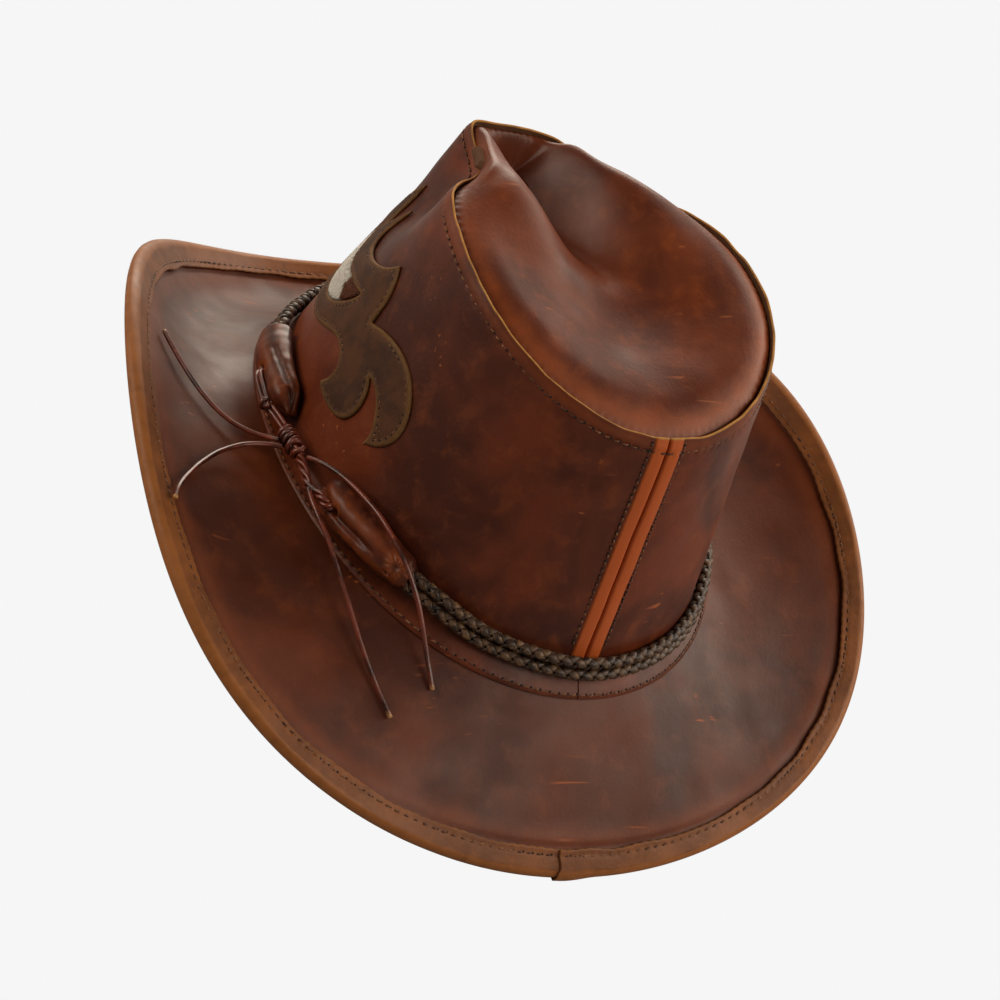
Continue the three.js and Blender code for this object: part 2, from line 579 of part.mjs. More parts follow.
const hat = new THREE.Group();
for (const [name, geometry] of Object.entries(solids)) {
  const finish = FINISHES[FINISH_OF.find(([pattern]) => pattern.test(name))[1]];
  const mesh = new THREE.Mesh(geometry, new THREE.MeshStandardMaterial({ metalness: 0, ...finish }));
  mesh.name = name;
  hat.add(mesh);
}
export default hat;
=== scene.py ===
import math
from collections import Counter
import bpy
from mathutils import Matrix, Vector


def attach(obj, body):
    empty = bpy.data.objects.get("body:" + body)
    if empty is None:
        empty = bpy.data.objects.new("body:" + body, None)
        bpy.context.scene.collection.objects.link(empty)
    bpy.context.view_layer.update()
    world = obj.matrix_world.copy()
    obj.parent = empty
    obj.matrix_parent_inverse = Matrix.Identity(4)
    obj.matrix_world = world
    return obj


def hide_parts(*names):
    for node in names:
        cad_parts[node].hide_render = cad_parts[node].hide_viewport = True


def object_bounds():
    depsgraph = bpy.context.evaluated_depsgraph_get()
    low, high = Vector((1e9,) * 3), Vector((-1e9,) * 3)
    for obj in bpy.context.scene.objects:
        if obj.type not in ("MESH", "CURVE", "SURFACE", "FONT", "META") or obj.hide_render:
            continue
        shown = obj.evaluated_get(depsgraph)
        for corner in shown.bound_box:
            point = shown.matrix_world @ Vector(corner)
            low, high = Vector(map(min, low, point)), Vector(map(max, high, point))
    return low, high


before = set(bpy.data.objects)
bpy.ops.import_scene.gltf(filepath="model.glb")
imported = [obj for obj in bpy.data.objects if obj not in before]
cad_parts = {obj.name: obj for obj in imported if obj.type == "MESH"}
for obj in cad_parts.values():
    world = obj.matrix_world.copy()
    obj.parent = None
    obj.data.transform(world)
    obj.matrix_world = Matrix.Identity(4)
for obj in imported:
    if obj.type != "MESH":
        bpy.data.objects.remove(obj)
# A leather cowboy hat. Sizes below are in millimetres and turned into metres as each mesh is made.
# "theta" is the angle round the hat in degrees: 0 at the front, 90 at the wearer's left, 180 at the back.

from types import SimpleNamespace as Sizes

import bmesh
import bpy
import numpy as np
from mathutils import Matrix, Vector
from mathutils.geometry import delaunay_2d_cdt

cad_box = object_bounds()
MM = 0.001
rng = np.random.default_rng(11)

# ---- camera ------------------------------------------------------------------
CAMERA = Sizes(azimuth=138.66, elevation=34.6, roll=30.45, lens=157.23, distance=1.66794,
               aim=Vector((0, 0, 0.05)), across=-0.01362, up=-0.04466)


def make_camera():
    a, e, roll = (math.radians(v) for v in (CAMERA.azimuth, CAMERA.elevation, CAMERA.roll))
    back = Vector((math.sin(a) * math.cos(e), -math.cos(a) * math.cos(e), math.sin(e)))
    level = (-back).cross(Vector((0, 0, 1))).normalized()
    above = level.cross(-back)
    right = math.cos(roll) * level + math.sin(roll) * above
    up = -math.sin(roll) * level + math.cos(roll) * above
    place = CAMERA.aim + right * CAMERA.across + up * CAMERA.up + back * CAMERA.distance
    camera = bpy.data.objects.new("camera", bpy.data.cameras.new("camera"))
    bpy.context.collection.objects.link(camera)
    camera.matrix_world = Matrix.Translation(place) @ Matrix((right, up, back)).transposed().to_4x4()
    camera.data.lens = CAMERA.lens
    camera.data.sensor_width = 36
    camera.data.clip_end = 50
    bpy.context.scene.camera = camera


# ---- small numeric helpers ---------------------------------------------------
def bell(x, width):
    return np.exp(-((x / width) ** 2))


def ease(x, start, end):
    t = np.clip((x - start) / (end - start), 0, 1)
    return t * t * (3 - 2 * t)


def turn(theta):
    return (np.asarray(theta, float) + 180) % 360 - 180


def xyz(*axes):
    return np.stack(np.broadcast_arrays(*axes), axis=-1)


def unit(v):
    return v / np.maximum(np.linalg.norm(v, axis=-1, keepdims=True), 1e-12)


def waves(points, size, seed, count=18):
    """Smooth random values of about -1 to 1, with bumps about size millimetres across."""
    chance = np.random.default_rng(seed)
    spin = unit(chance.normal(size=(count, 3))) * chance.uniform(0.6, 1.4, (count, 1)) * math.pi / size
    return np.sin(points @ spin.T + chance.uniform(0, 6.3, count)).sum(axis=-1) / math.sqrt(count)


def smooth_curve(points, steps):
    """A centripetal Catmull-Rom curve through the points."""
    p = np.asarray(points, float)
    p = np.vstack([2 * p[0] - p[1], p, 2 * p[-1] - p[-2]])
    made = []
    for a, b, c, d in zip(p[:-3], p[1:-2], p[2:-1], p[3:]):
        gaps = [max(np.linalg.norm(w - v) ** 0.5, 1e-6) for v, w in ((a, b), (b, c), (c, d))]
        out_b = (b - a) / gaps[0] - (c - a) / (gaps[0] + gaps[1]) + (c - b) / gaps[1]
        out_c = (c - b) / gaps[1] - (d - b) / (gaps[1] + gaps[2]) + (d - c) / gaps[2]
        m, n = out_b * gaps[1], out_c * gaps[1]
        t = (np.arange(steps) / steps)[:, None]
        made.append(b + m * t + (3 * c - 3 * b - 2 * m - n) * t**2 + (2 * b - 2 * c + m + n) * t**3)
    return np.vstack([*made, p[-2]])


def along(path, closed=False):
    """Unit directions along a path."""
    if closed:
        return unit(np.roll(path, -1, axis=0) - np.roll(path, 1, axis=0))
    return unit(np.gradient(path, axis=0))


def walk(path, normals, pitch, closed=False):
    """Points, directions and normals at equal steps of about pitch along a path."""
    if closed:
        path, normals = np.vstack([path, path[:1]]), np.vstack([normals, normals[:1]])
    run = np.concatenate([[0], np.cumsum(np.linalg.norm(np.diff(path, axis=0), axis=1))])
    count = max(int(round(run[-1] / pitch)), 1)
    at = (np.arange(count) + 0.5) * run[-1] / count
    point, normal, ahead = (
        np.stack([np.interp(s, run, v[:, k]) for k in range(3)], axis=1)
        for s, v in ((at, path), (at, normals), (at + 0.1, path)))
    return point, unit(ahead - point), unit(normal)


# ---- the shape of the hat ----------------------------------------------------
HEAD = Sizes(half_width=86.5, half_length=105, dip=3.7)
TIP = Sizes(half_width=68.9, half_length=76.7, back=5.2, height=110.9, front=9.7, side=5.2)
LEAN = Sizes(left=10.6, up=4, narrow=0.16, right=2.1)
PINCH = Sizes(back=2, foot=0.35)
LEFT_PINCH = Sizes(angle=47, spread=14, inward=12.5, drop=6.2)
RIGHT_PINCH = Sizes(angle=43, spread=19.5, inward=14.3, drop=2.4)
CORNER = Sizes(angle=27, spread=13, left=6, right=0.4)
ROLL = Sizes(rise=4.6, width=0.22)
BOWL = Sizes(depth=3.1, start=0.14, end=0.83)
CREASE = Sizes(depth=20, half_width=12.2, x=-3.6, lean=17.6, start=16.6, end=-53)
RIDGE = Sizes(rise=6.7, x=29, half_width=16.6, start=46, end=-23)
BRIM = Sizes(half_width=165.4, half_length=160.2, back=9.8, pull=15.2, square_x=3.9, square_y=-2.5,
             level=-12.6, front=20.4, curl=30.5, curl3=-11, curl4=-4)
SAG = Sizes(all=7.6, front=9.2, sides=1.8, quarters=-2)
GAP = 0.35  # between pieces that touch
WALL = 2.0
TIP_LEATHER = 1.8
PLY = 1.5
LIP = 2.0  # how far the side panel stands up past the tip seam
FLANGE = Sizes(width=7.8, thick=1.4, bend=4.2, stitch_in=1.5)
BINDING = Sizes(width=10, thick=1, stitch_in=1.9)
LAP = Sizes(angle=1.6, lift=1.12, fade=4.5)  # the binding's overlapping end at the back
CORD_RADIUS = 2.4
LACE = 2.0
EDGE_CENTRE = BINDING.thick + PLY + GAP * 1.9
WIRE_RADIUS = 1.1
BRIM_MIDDLE = -(PLY + GAP / 2)
ROUND = 720  # points round the hat
RING = np.linspace(-180, 180, ROUND, endpoint=False)
PER_DEGREE = math.radians(1) * HEAD.half_width


def crown_base(theta):
    t = np.radians(theta)
    return xyz(HEAD.half_width * np.sin(t), -HEAD.half_length * np.cos(t), -HEAD.dip * np.cos(2 * t))


def open_tip(theta):
    t = np.radians(theta)
    front = ((1 + np.cos(t)) / 2) ** 2
    x = TIP.half_width * np.sin(t) * (1 - LEAN.narrow * front) + LEAN.left * front
    z = TIP.height + TIP.front * np.cos(t) - TIP.side * np.cos(2 * t)
    z = z + (LEAN.up * front - LEAN.right) * np.sin(t)
    return xyz(x, TIP.back - TIP.half_length * np.cos(t), z)


def pinch_at(theta):
    """How strongly the dent in that side of the crown's front acts at theta: share, inward, drop."""
    off = turn(theta)
    left, right = (bell(np.abs(off) - dent.angle, dent.spread) for dent in (LEFT_PINCH, RIGHT_PINCH))
    inward = np.where(off > 0, LEFT_PINCH.inward * left, -RIGHT_PINCH.inward * right)
    drop = np.where(off > 0, LEFT_PINCH.drop * left, RIGHT_PINCH.drop * right)
    return np.where(off > 0, left, right), inward, drop


def tip_shift(theta):
    off = turn(theta)
    share, inward, drop = pinch_at(theta)
    corner = np.where(off > 0, CORNER.left, CORNER.right) * bell(np.abs(off) - CORNER.angle, CORNER.spread)
    return xyz(-inward, PINCH.back * share - corner, -drop)


def slant(theta):
    return np.linalg.norm(open_tip(theta) - crown_base(theta), axis=-1)


def wall_face(theta, h):
    v = np.asarray(h) / slant(theta)
    fade = ease(v, PINCH.foot, 1) ** 1.4
    v = np.minimum(v, 1.2)[..., None]
    return crown_base(theta) * (1 - v) + open_tip(theta) * v + tip_shift(theta) * fade[..., None]


def wall_normal(theta, h):
    around = wall_face(theta + 0.1, h) - wall_face(theta - 0.1, h)
    upward = wall_face(theta, h + 0.1) - wall_face(theta, h - 0.1)
    return unit(np.cross(around, upward))


def wall(theta, h, out=0.0):
    """A point of the crown's side, h up its outer face and out off it."""
    theta, h, out = np.broadcast_arrays(np.asarray(theta, float), h, out)
    return wall_face(theta, h) + wall_normal(theta, h) * out[..., None]


def tip_face(theta, r, inset):
    """A point of the tip, from r = 0 in the middle to 1 at the seam."""
    theta, r = np.broadcast_arrays(np.asarray(theta, float), np.asarray(r, float))
    rim = wall(theta, slant(theta), -inset)
    off = turn(theta)
    t = np.radians(off)
    x = rim[..., 0] * r
    y = TIP.back + (rim[..., 1] - TIP.back) * r
    lean = (LEAN.up * ((1 + np.cos(t)) / 2) ** 2 - LEAN.right) * np.sin(t)
    lift = (TIP.front * np.cos(t) + lean) * r - TIP.side * np.cos(2 * t) * r * r
    pinch = pinch_at(theta)[2] * r**4
    roll = ROLL.rise * (1 - np.clip(1 - (1 - r) / ROLL.width, 0, 1) ** 2)
    bowl = (ROLL.rise + BOWL.depth) * ease(1 - r, BOWL.start, BOWL.end)
    side = x - CREASE.x - CREASE.lean * ease(y, 20, -60)
    crease = CREASE.depth * bell(side, CREASE.half_width) * ease(y, CREASE.start, CREASE.end)
    ridge = RIDGE.rise * bell(np.abs(side) - RIDGE.x, RIDGE.half_width) * ease(y, RIDGE.start, RIDGE.end)
    z = TIP.height + lift - pinch + roll - bowl + ease(1 - r, 0, 0.1) * (ridge - crease)
    return xyz(x, y, z)


def brim_edge(theta):
    t = np.radians(theta)
    c1, c2, c3, c4 = (np.cos(n * t) for n in (1, 2, 3, 4))
    x = BRIM.half_width * np.sin(t) + BRIM.square_x * np.sin(3 * t)
    y = BRIM.back - BRIM.half_length * c1 - BRIM.pull * c2 + BRIM.square_y * c3
    z = BRIM.level + BRIM.front * c1 - BRIM.curl * c2 + BRIM.curl3 * c3 + BRIM.curl4 * c4
    return xyz(x, y, z)


def brim_width(theta):
    return np.linalg.norm(brim_edge(theta) - crown_base(theta), axis=-1)


def brim_face(theta, w):
    t = np.radians(theta)
    sag = SAG.all + SAG.front * np.cos(t) + SAG.sides * np.cos(2 * t) + SAG.quarters * np.cos(4 * t)
    w = np.asarray(w, float)
    drop = 4 * sag * np.maximum(w, 0) * (1 - w)
    w = w[..., None]
    point = crown_base(theta) * (1 - w) + brim_edge(theta) * w
    return point - xyz(0, 0, drop)


def brim_normal(theta, w):
    around = brim_face(theta + 0.1, w) - brim_face(theta - 0.1, w)
    outward = brim_face(theta, w + 0.001) - brim_face(theta, w - 0.001)
    return unit(np.cross(outward, around))


def brim_out(theta, d, up=0.0):
    """A point of the brim, d out from the crown and up off its upper face."""
    theta, d, up = np.broadcast_arrays(np.asarray(theta, float), d, up)
    w = d / brim_width(theta)
    return brim_face(theta, w) + brim_normal(theta, w) * up[..., None]


def brim_in(theta, d, up=0.0):
    """The same, with d measured in from the brim's edge."""
    return brim_out(theta, brim_width(theta) - d, up)


# ---- meshes ------------------------------------------------------------------
def add_piece(name, points, faces, materials, stands_for=(), slot=None, values=None, picks=None):
    """A smooth mesh piece that rides on the hat. Points are in millimetres, picks are material numbers."""
    mesh = bpy.data.meshes.new(name)
    mesh.from_pydata((np.asarray(points, float) * MM).tolist(), [], faces)
    for material in materials:
        mesh.materials.append(material)
    for label, numbers in (values or {}).items():
        made = mesh.attributes.new(label, "FLOAT", "POINT")
        made.data.foreach_set("value", np.asarray(numbers, np.float32).ravel())
    if picks is not None:
        mesh.polygons.foreach_set("material_index", np.asarray(picks, np.int32))
    work = bmesh.new()
    work.from_mesh(mesh)
    bmesh.ops.recalc_face_normals(work, faces=work.faces)
    work.to_mesh(mesh)
    work.free()
    mesh.polygons.foreach_set("use_smooth", np.ones(len(mesh.polygons), bool))
    mesh.update()
    piece = bpy.data.objects.new(name, mesh)
    bpy.context.collection.objects.link(piece)
    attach(piece, "root")
    if stands_for:
        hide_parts(*stands_for)
    return piece


def grid_faces(rows, columns, close_rows, close_columns, first=0):
    i = np.arange(rows if close_rows else rows - 1)[:, None]
    j = np.arange(columns if close_columns else columns - 1)[None, :]
    corners = [(i, j), (i, j + 1), (i + 1, j + 1), (i + 1, j)]
    ids = [(a % rows) * columns + b % columns + first for a, b in corners]
    return np.stack(np.broadcast_arrays(*ids), axis=-1).reshape(-1, 4).tolist()


def fans(loop_start, columns, centre):
    return [(loop_start + k, loop_start + (k + 1) % columns, centre) for k in range(columns)]


EDGE_TURN = (1.0, 0.5, 0.0, -0.5, -1.0)  # where round an edge its points lie, from outer to inner


def leather_grid(outer, inner):
    """Outer and inner faces, each rows x columns x 3, joined into closed loops with rounded edges."""
    def edge(o, i, before):
        middle, half = (o + i) / 2, (o - i) / 2
        size = np.linalg.norm(half, axis=-1, keepdims=True)
        outward = unit(o - before) * size
        return [middle + half * math.sin(a * math.pi / 2) + outward * math.cos(a * math.pi / 2) * 0.8
                for a in EDGE_TURN[1:-1]]
    first = edge(outer[:, 0], inner[:, 0], outer[:, 1])
    last = edge(outer[:, -1], inner[:, -1], outer[:, -2])
    loops = [*first[1::-1], *np.moveaxis(outer, 1, 0), *last, *np.moveaxis(inner, 1, 0)[::-1], first[2]]
    return np.stack(loops, axis=1)


def raw_edges(columns, cut):
    """How plainly a leather grid's two rounded edges show as cut edges, and 0 on its faces."""
    mark = np.zeros(2 * columns + 6)
    mark[[0, 1, -1]] = cut[0]
    mark[columns + 2:columns + 5] = cut[1]
    return mark


def leather_faces(rows, loop, ring):
    faces = grid_faces(rows, loop, ring, True)
    if not ring:
        for start in (0, (rows - 1) * loop):
            middle = start + loop // 2
            faces += [(start, start + 1, start + loop - 1), (middle - 1, middle, middle + 1)]
            faces += [(start + k, start + k + 1, start + loop - k - 1, start + loop - k)
                      for k in range(1, loop // 2 - 1)]
    return faces


def leather(name, outer, inner, ring, materials, values=None, cut=(1, 1), **more):
    """A leather piece between two faces. Values are given on the outer face."""
    grid = leather_grid(outer, inner)
    rows, loop = grid.shape[:2]
    columns = outer.shape[1]
    marks = {"raw": np.broadcast_to(raw_edges(columns, cut), (rows, loop))}
    for label, numbers in (values or {}).items():
        whole = np.zeros((rows, loop))
        whole[:, 2:2 + columns] = numbers
        marks[label] = whole
    inside = np.zeros(loop)
    inside[columns + 5:-1] = 1
    marks["flesh"] = np.broadcast_to(inside, (rows, loop))
    faces = leather_faces(rows, loop, ring)
    return add_piece(name, grid.reshape(-1, 3), faces, materials, values=marks, **more)


def sweep(path, normals, section, sizes=None, first=0):
    """Points and faces of a section swept along a path, its x across and its y along the normals."""
    ahead = along(path)
    side = unit(np.cross(ahead, normals))
    up = np.cross(side, ahead)
    sizes = np.ones(len(path)) if sizes is None else np.asarray(sizes)
    x, y = (section[:, k][None, :, None] * sizes[:, None, None] for k in (0, 1))
    points = path[:, None, :] + side[:, None, :] * x + up[:, None, :] * y
    rows, columns = points.shape[:2]
    caps = np.stack([path[0], path[-1]])
    faces = grid_faces(rows, columns, False, True, first)
    faces += fans(first, columns, first + rows * columns)
    faces += fans(first + (rows - 1) * columns, columns, first + rows * columns + 1)
    return np.vstack([points.reshape(-1, 3), caps]), faces


def oval(width, height, sides, power=1.0):
    a = np.arange(sides) / sides * 2 * math.pi
    x, y = np.cos(a), np.sin(a)
    return np.stack([np.sign(x) * np.abs(x) ** power * width / 2,
                     np.sign(y) * np.abs(y) ** power * height / 2], axis=1)


def steady_normals(path, start):
    """Normals carried along a path with as little twist as it allows."""
    ahead = along(path)
    made = [unit(start - ahead[0] * np.dot(start, ahead[0]))]
    for t in ahead[1:]:
        made.append(unit(made[-1] - t * np.dot(made[-1], t)))
    return np.array(made)


def join(parts):
    """Several (points, faces) pairs as one."""
    points, faces, first = [], [], 0
    for some_points, some_faces in parts:
        points.append(some_points)
        faces += [tuple(k + first for k in face) for face in some_faces]
        first += len(some_points)
    return np.vstack(points), faces


# ---- stitches ----------------------------------------------------------------
HOLE = Sizes(radius=0.45, depth=0.5, lift=0.04, sides=8)


def stitch_row(name, rows, length, materials, thick=0.75, sink=0.25, **more):
    """Separate stitches, each dipping into the leather at its ends, with a needle hole between, drawn as a
    capped plug whose dark colour is painted shade.
    """
    point, ahead, normal = (np.concatenate([row[k] for row in rows]) for k in range(3))
    side = np.cross(normal, ahead)
    wobble = rng.normal(size=(len(point), 3))
    ahead = unit(ahead + side * (0.13 + 0.05 * wobble[:, :1]))
    side = np.cross(normal, ahead)
    u = np.linspace(-1, 1, 7)[:, None]
    a = np.arange(6) / 6 * 2 * math.pi
    fat = np.sqrt(np.maximum(1 - u**4 * 0.75, 0))
    dip = thick * 0.3 - sink - thick * 0.9 * np.abs(u) ** 3
    shares = (u * length / 2 + 0 * a, fat * np.cos(a) * thick / 2, fat * np.sin(a) * thick * 0.4 + dip)
    axes = [v[:, None, None, :] for v in (ahead, side, normal)]
    grow = 1 + 0.07 * wobble[:, 1:2, None, None]
    body = point[:, None, None, :] + sum(
        axis * share[None, :, :, None] * grow for axis, share in zip(axes, shares))
    columns = len(a)
    each = len(u) * columns
    one = grid_faces(len(u), columns, False, True)
    one += [tuple(range(columns)), tuple(range(each - columns, each))]
    faces = [tuple(k + n * each for k in face) for n in range(len(point)) for face in one]
    picks = [0] * len(faces)
    # Needle holes: each a closed plug standing just proud of the leather, its dark material painted shade
    # in place of an open hole.
    sides = HOLE.sides
    ring = (np.arange(sides) / sides * 2 * math.pi)[None, :, None]
    ahead, side, normal = (v[:, None, :] for v in (ahead, side, normal))
    holes = (point[:, None, :] + ahead * length * 0.57 + HOLE.lift * normal
             + HOLE.radius * (ahead * np.cos(ring) + side * np.sin(ring)))
    low = holes - HOLE.depth * normal
    for n in range(len(point)):
        top = len(point) * each + 2 * n * sides
        under = top + sides
        faces += [tuple(range(top, under)), tuple(range(under, under + sides))]
        faces += [(top + k, top + (k + 1) % sides, under + (k + 1) % sides, under + k)
                  for k in range(sides)]
        picks += [1] * (sides + 2)
    pits = np.concatenate([holes, low], axis=1).reshape(-1, 3)
    points = np.vstack([body.reshape(-1, 3), pits])
    return add_piece(name, points, faces, materials, picks=picks, **more)


# ---- materials ---------------------------------------------------------------
def tone(red, green, blue):
    """A colour given as it is seen, from 0 to 255, as the light values that a shader needs."""
    shares = [v / 255 for v in (red, green, blue)]
    return (*(v / 12.92 if v <= 0.04045 else ((v + 0.055) / 1.055) ** 2.4 for v in shares), 1)


class Look:
    """A procedural material: a Principled shader, and short names for the nodes that feed it."""

    def __init__(self, name, **constants):
        self.material = bpy.data.materials.new(name)
        self.material.use_nodes = True
        self.tree = self.material.node_tree
        self.shader = self.tree.nodes["Principled BSDF"]
        self.place = self.node("TexCoord").outputs["Object"]
        for key, value in constants.items():
            self.shader.inputs[key.replace("_", " ")].default_value = value

    def node(self, kind, feeds=None, **settings):
        node = self.tree.nodes.new("ShaderNode" + kind)
        for key, value in settings.items():
            setattr(node, key, value)
        for key, value in (feeds or {}).items():
            self.feed(node.inputs[key], value)
        return node

    def feed(self, socket, value):
        if isinstance(value, bpy.types.NodeSocket):
            self.tree.links.new(value, socket)
        else:
            socket.default_value = value

    def noise(self, size, detail=3.0, rough=0.5, warp=0.0, vector=None):
        """Noise with bumps about size millimetres across, around 0.5."""
        feeds = {"Vector": vector or self.place, "Scale": 1 / (size * MM), "Detail": detail,
                 "Roughness": rough, "Distortion": warp}
        return self.node("TexNoise", feeds).outputs["Fac"]

    def cells(self, size, feature="F1", vector=None):
        feeds = {"Vector": vector or self.place, "Scale": 1 / (size * MM)}
        return self.node("TexVoronoi", feeds, feature=feature).outputs["Distance"]

    def turned(self, angles, stretch=(1, 1, 1)):
        feeds = {"Vector": self.place, "Rotation": [math.radians(a) for a in angles], "Scale": stretch}
        return self.node("Mapping", feeds).outputs["Vector"]

    def band(self, value, low, high, start=0.0, end=1.0):
        feeds = {"Value": value, "From Min": low, "From Max": high, "To Min": start, "To Max": end}
        return self.node("MapRange", feeds, interpolation_type="SMOOTHSTEP").outputs["Result"]

    def sum(self, a, b, operation="ADD"):
        node = self.node("Math", operation=operation)
        self.feed(node.inputs[0], a)
        self.feed(node.inputs[1], b)
        return node.outputs["Value"]

    def times(self, a, b):
        return self.sum(a, b, "MULTIPLY")

    def mix(self, share, a, b, blend="MIX"):
        feeds = {"Fac": share, "Color1": a, "Color2": b}
        return self.node("MixRGB", feeds, blend_type=blend).outputs["Color"]

    def mark(self, name):
        return self.node("Attribute", attribute_name=name).outputs["Fac"]

    def bump(self, height, depth, strength=1.0, under=None):
        feeds = {"Height": height, "Distance": depth * MM, "Strength": strength}
        if under is not None:
            feeds["Normal"] = under
        return self.node("Bump", feeds).outputs["Normal"]

    def finish(self, colour, rough=None, normal=None):
        self.feed(self.shader.inputs["Base Color"], colour)
        if rough is not None:
            self.feed(self.shader.inputs["Roughness"], rough)
        if normal is not None:
            self.feed(self.shader.inputs["Normal"], normal)
        return self.material


def scratches(look, amount=1.0):
    """Short thin light marks in three directions, gathered in places."""
    total = None
    for angles, size in (((20, 35, 65), 2.2), ((110, -15, 20), 2.8), ((45, 60, -50), 2.5)):
        vector = look.turned(angles, (0.06, 1, 1))
        streak = look.band(look.noise(size, 0.0, 0.5, 0.15, vector), 0.79, 0.84)
        total = streak if total is None else look.sum(total, streak, "MAXIMUM")
    where = look.band(look.noise(38, 2.0), 0.52, 0.68)
    return look.times(look.times(total, where), amount)


def waxed_leather(name, dark, middle, bright, patch=48.0, rough=0.42, marks=0.55, grain=0.5):
    """Waxed pull-up leather: dark where it lies flat, lighter where it is bent, worn or scratched."""
    look = Look(name, Specular_IOR_Level=0.3, Coat_Weight=0.03, Coat_Roughness=0.3)
    patches = look.noise(patch, 3.0, 0.55, 0.5)
    mottle = look.noise(patch / 5, 6.0, 0.62, 0.3)
    colour = look.mix(look.band(patches, 0.36, 0.66), dark, middle)
    colour = look.mix(look.times(look.band(mottle, 0.47, 0.8), 0.4), colour, bright)
    fine = look.noise(1.3, 4.0, 0.7)
    colour = look.mix(look.band(fine, 0.45, 0.85, 0, 0.35), colour, dark)
    bent = look.times(look.mark("bent"), look.band(mottle, 0.2, 0.62, 0.55, 1.0))
    colour = look.mix(bent, colour, bright)
    colour = look.mix(look.times(look.mark("strip"), 0.9), colour, tone(186, 88, 34))
    worn = scratches(look, marks)
    colour = look.mix(worn, colour, tone(188, 104, 52))
    flesh = look.mark("flesh")
    suede = look.mix(look.noise(2.5, 5.0, 0.7), tone(70, 42, 26), tone(116, 78, 50))
    colour = look.mix(flesh, colour, suede)
    raw = look.times(look.mark("raw"), look.band(mottle, 0.3, 0.55, 0.6, 1.0))
    colour = look.mix(raw, colour, look.mix(look.noise(3, 4.0), tone(150, 96, 40), tone(205, 152, 78)))
    shine = look.band(look.noise(22, 4.0, 0.6), 0.3, 0.7, rough - 0.05, rough + 0.09)
    shine = look.sum(shine, look.times(worn, 0.15))
    shine = look.sum(shine, look.times(look.sum(flesh, raw, "MAXIMUM"), 0.35))
    pebble = look.cells(1.25, "SMOOTH_F1")
    normal = look.bump(pebble, 0.09, grain)
    normal = look.bump(look.noise(0.45, 3.0, 0.6), 0.05, grain, normal)
    normal = look.bump(look.noise(9, 4.0, 0.55), 0.5, 0.22, normal)
    normal = look.bump(look.times(worn, -1.0), 0.08, 0.5, normal)
    return look.finish(colour, shine, normal)


def make_looks():
    crown = waxed_leather("crown_leather", tone(66, 24, 9), tone(106, 45, 19), tone(142, 70, 30),
                          rough=0.45)
    tip = waxed_leather("tip_leather", tone(82, 35, 16), tone(114, 53, 26), tone(154, 76, 31))
    brim = waxed_leather("brim_leather", tone(66, 26, 10), tone(98, 44, 19), tone(130, 64, 29),
                         patch=60, rough=0.48)
    strap = waxed_leather("tab_leather", tone(54, 20, 10), tone(84, 34, 17), tone(142, 70, 30),
                          patch=16, rough=0.38, marks=0.4, grain=0.3)
    binding = waxed_leather("binding_leather", tone(92, 47, 17), tone(128, 72, 29), tone(160, 98, 46),
                            patch=26, rough=0.5, marks=0.4, grain=0.8)
    return Sizes(crown=crown, tip=tip, brim=brim, tab=strap, binding=binding, applique=applique_look(),
                 hide=hide_look(), braid=braid_look(), lace=lace_look(), thread=thread_look(),
                 # The needle holes' near-black colour is painted shade.
                 hole=plain_look("needle_hole_painted_shade", tone(26, 12, 6), 0.9), sweat=sweatband_look(),
                 steel=plain_look("edge_wire", tone(150, 150, 148), 0.35, metal=1.0))


def plain_look(name, colour, rough, metal=0.0):
    look = Look(name, Metallic=metal)
    grime = look.noise(3, 3.0)
    return look.finish(look.mix(look.times(grime, 0.3), colour, tone(20, 12, 8)),
                       look.band(grime, 0.3, 0.7, rough - 0.05, rough + 0.05))


def applique_look():
    """Distressed leather with a nap: darker in the middle, lighter towards its cut edges."""
    look = Look("applique_leather", Specular_IOR_Level=0.3)
    patches = look.noise(14, 5.0, 0.65, 0.4)
    colour = look.mix(look.band(patches, 0.35, 0.65), tone(60, 34, 20), tone(90, 56, 34))
    rim = look.times(look.mark("rim"), look.band(look.noise(4, 4.0), 0.3, 0.6, 0.55, 1.0))
    colour = look.mix(rim, colour, tone(118, 84, 46))
    colour = look.mix(look.mark("raw"), colour, tone(126, 88, 48))
    nap = look.noise(0.5, 5.0, 0.75)
    colour = look.mix(look.band(nap, 0.35, 0.75, 0, 0.5), colour, tone(44, 25, 14))
    normal = look.bump(nap, 0.18, 0.55)
    normal = look.bump(look.noise(5, 4.0), 0.5, 0.3, normal)
    return look.finish(colour, look.band(patches, 0.3, 0.7, 0.68, 0.85), normal)


def hide_look():
    """Hair-on hide: white, with red-brown spots."""
    look = Look("spotted_hide", Specular_IOR_Level=0.35)
    spot = look.mark("spot")
    strands = look.noise(0.6, 4.0, 0.6, 0.2, look.turned((0, 0, 0), (1, 0.18, 1)))
    white = look.mix(look.band(strands, 0.3, 0.7), tone(206, 198, 186), tone(243, 239, 231))
    brown = look.mix(look.band(strands, 0.3, 0.7), tone(74, 36, 18), tone(128, 70, 36))
    return look.finish(look.mix(spot, white, brown), 0.6, look.bump(strands, 0.15, 0.5))


def braid_look():
    """Near-black thin strands, worn to grey-tan on their outside."""
    look = Look("braided_strands", Specular_IOR_Level=0.5)
    length_noise = look.noise(6, 4.0, 0.7)
    colour = look.mix(look.band(length_noise, 0.35, 0.7), tone(31, 18, 11), tone(66, 44, 28))
    worn = look.times(look.mark("crown"), look.band(look.noise(3.2, 4.0, 0.7), 0.42, 0.7))
    colour = look.mix(worn, colour, tone(120, 88, 56))
    normal = look.bump(look.noise(0.5, 4.0, 0.7), 0.12, 0.6)
    return look.finish(colour, look.band(length_noise, 0.3, 0.7, 0.36, 0.55), normal)


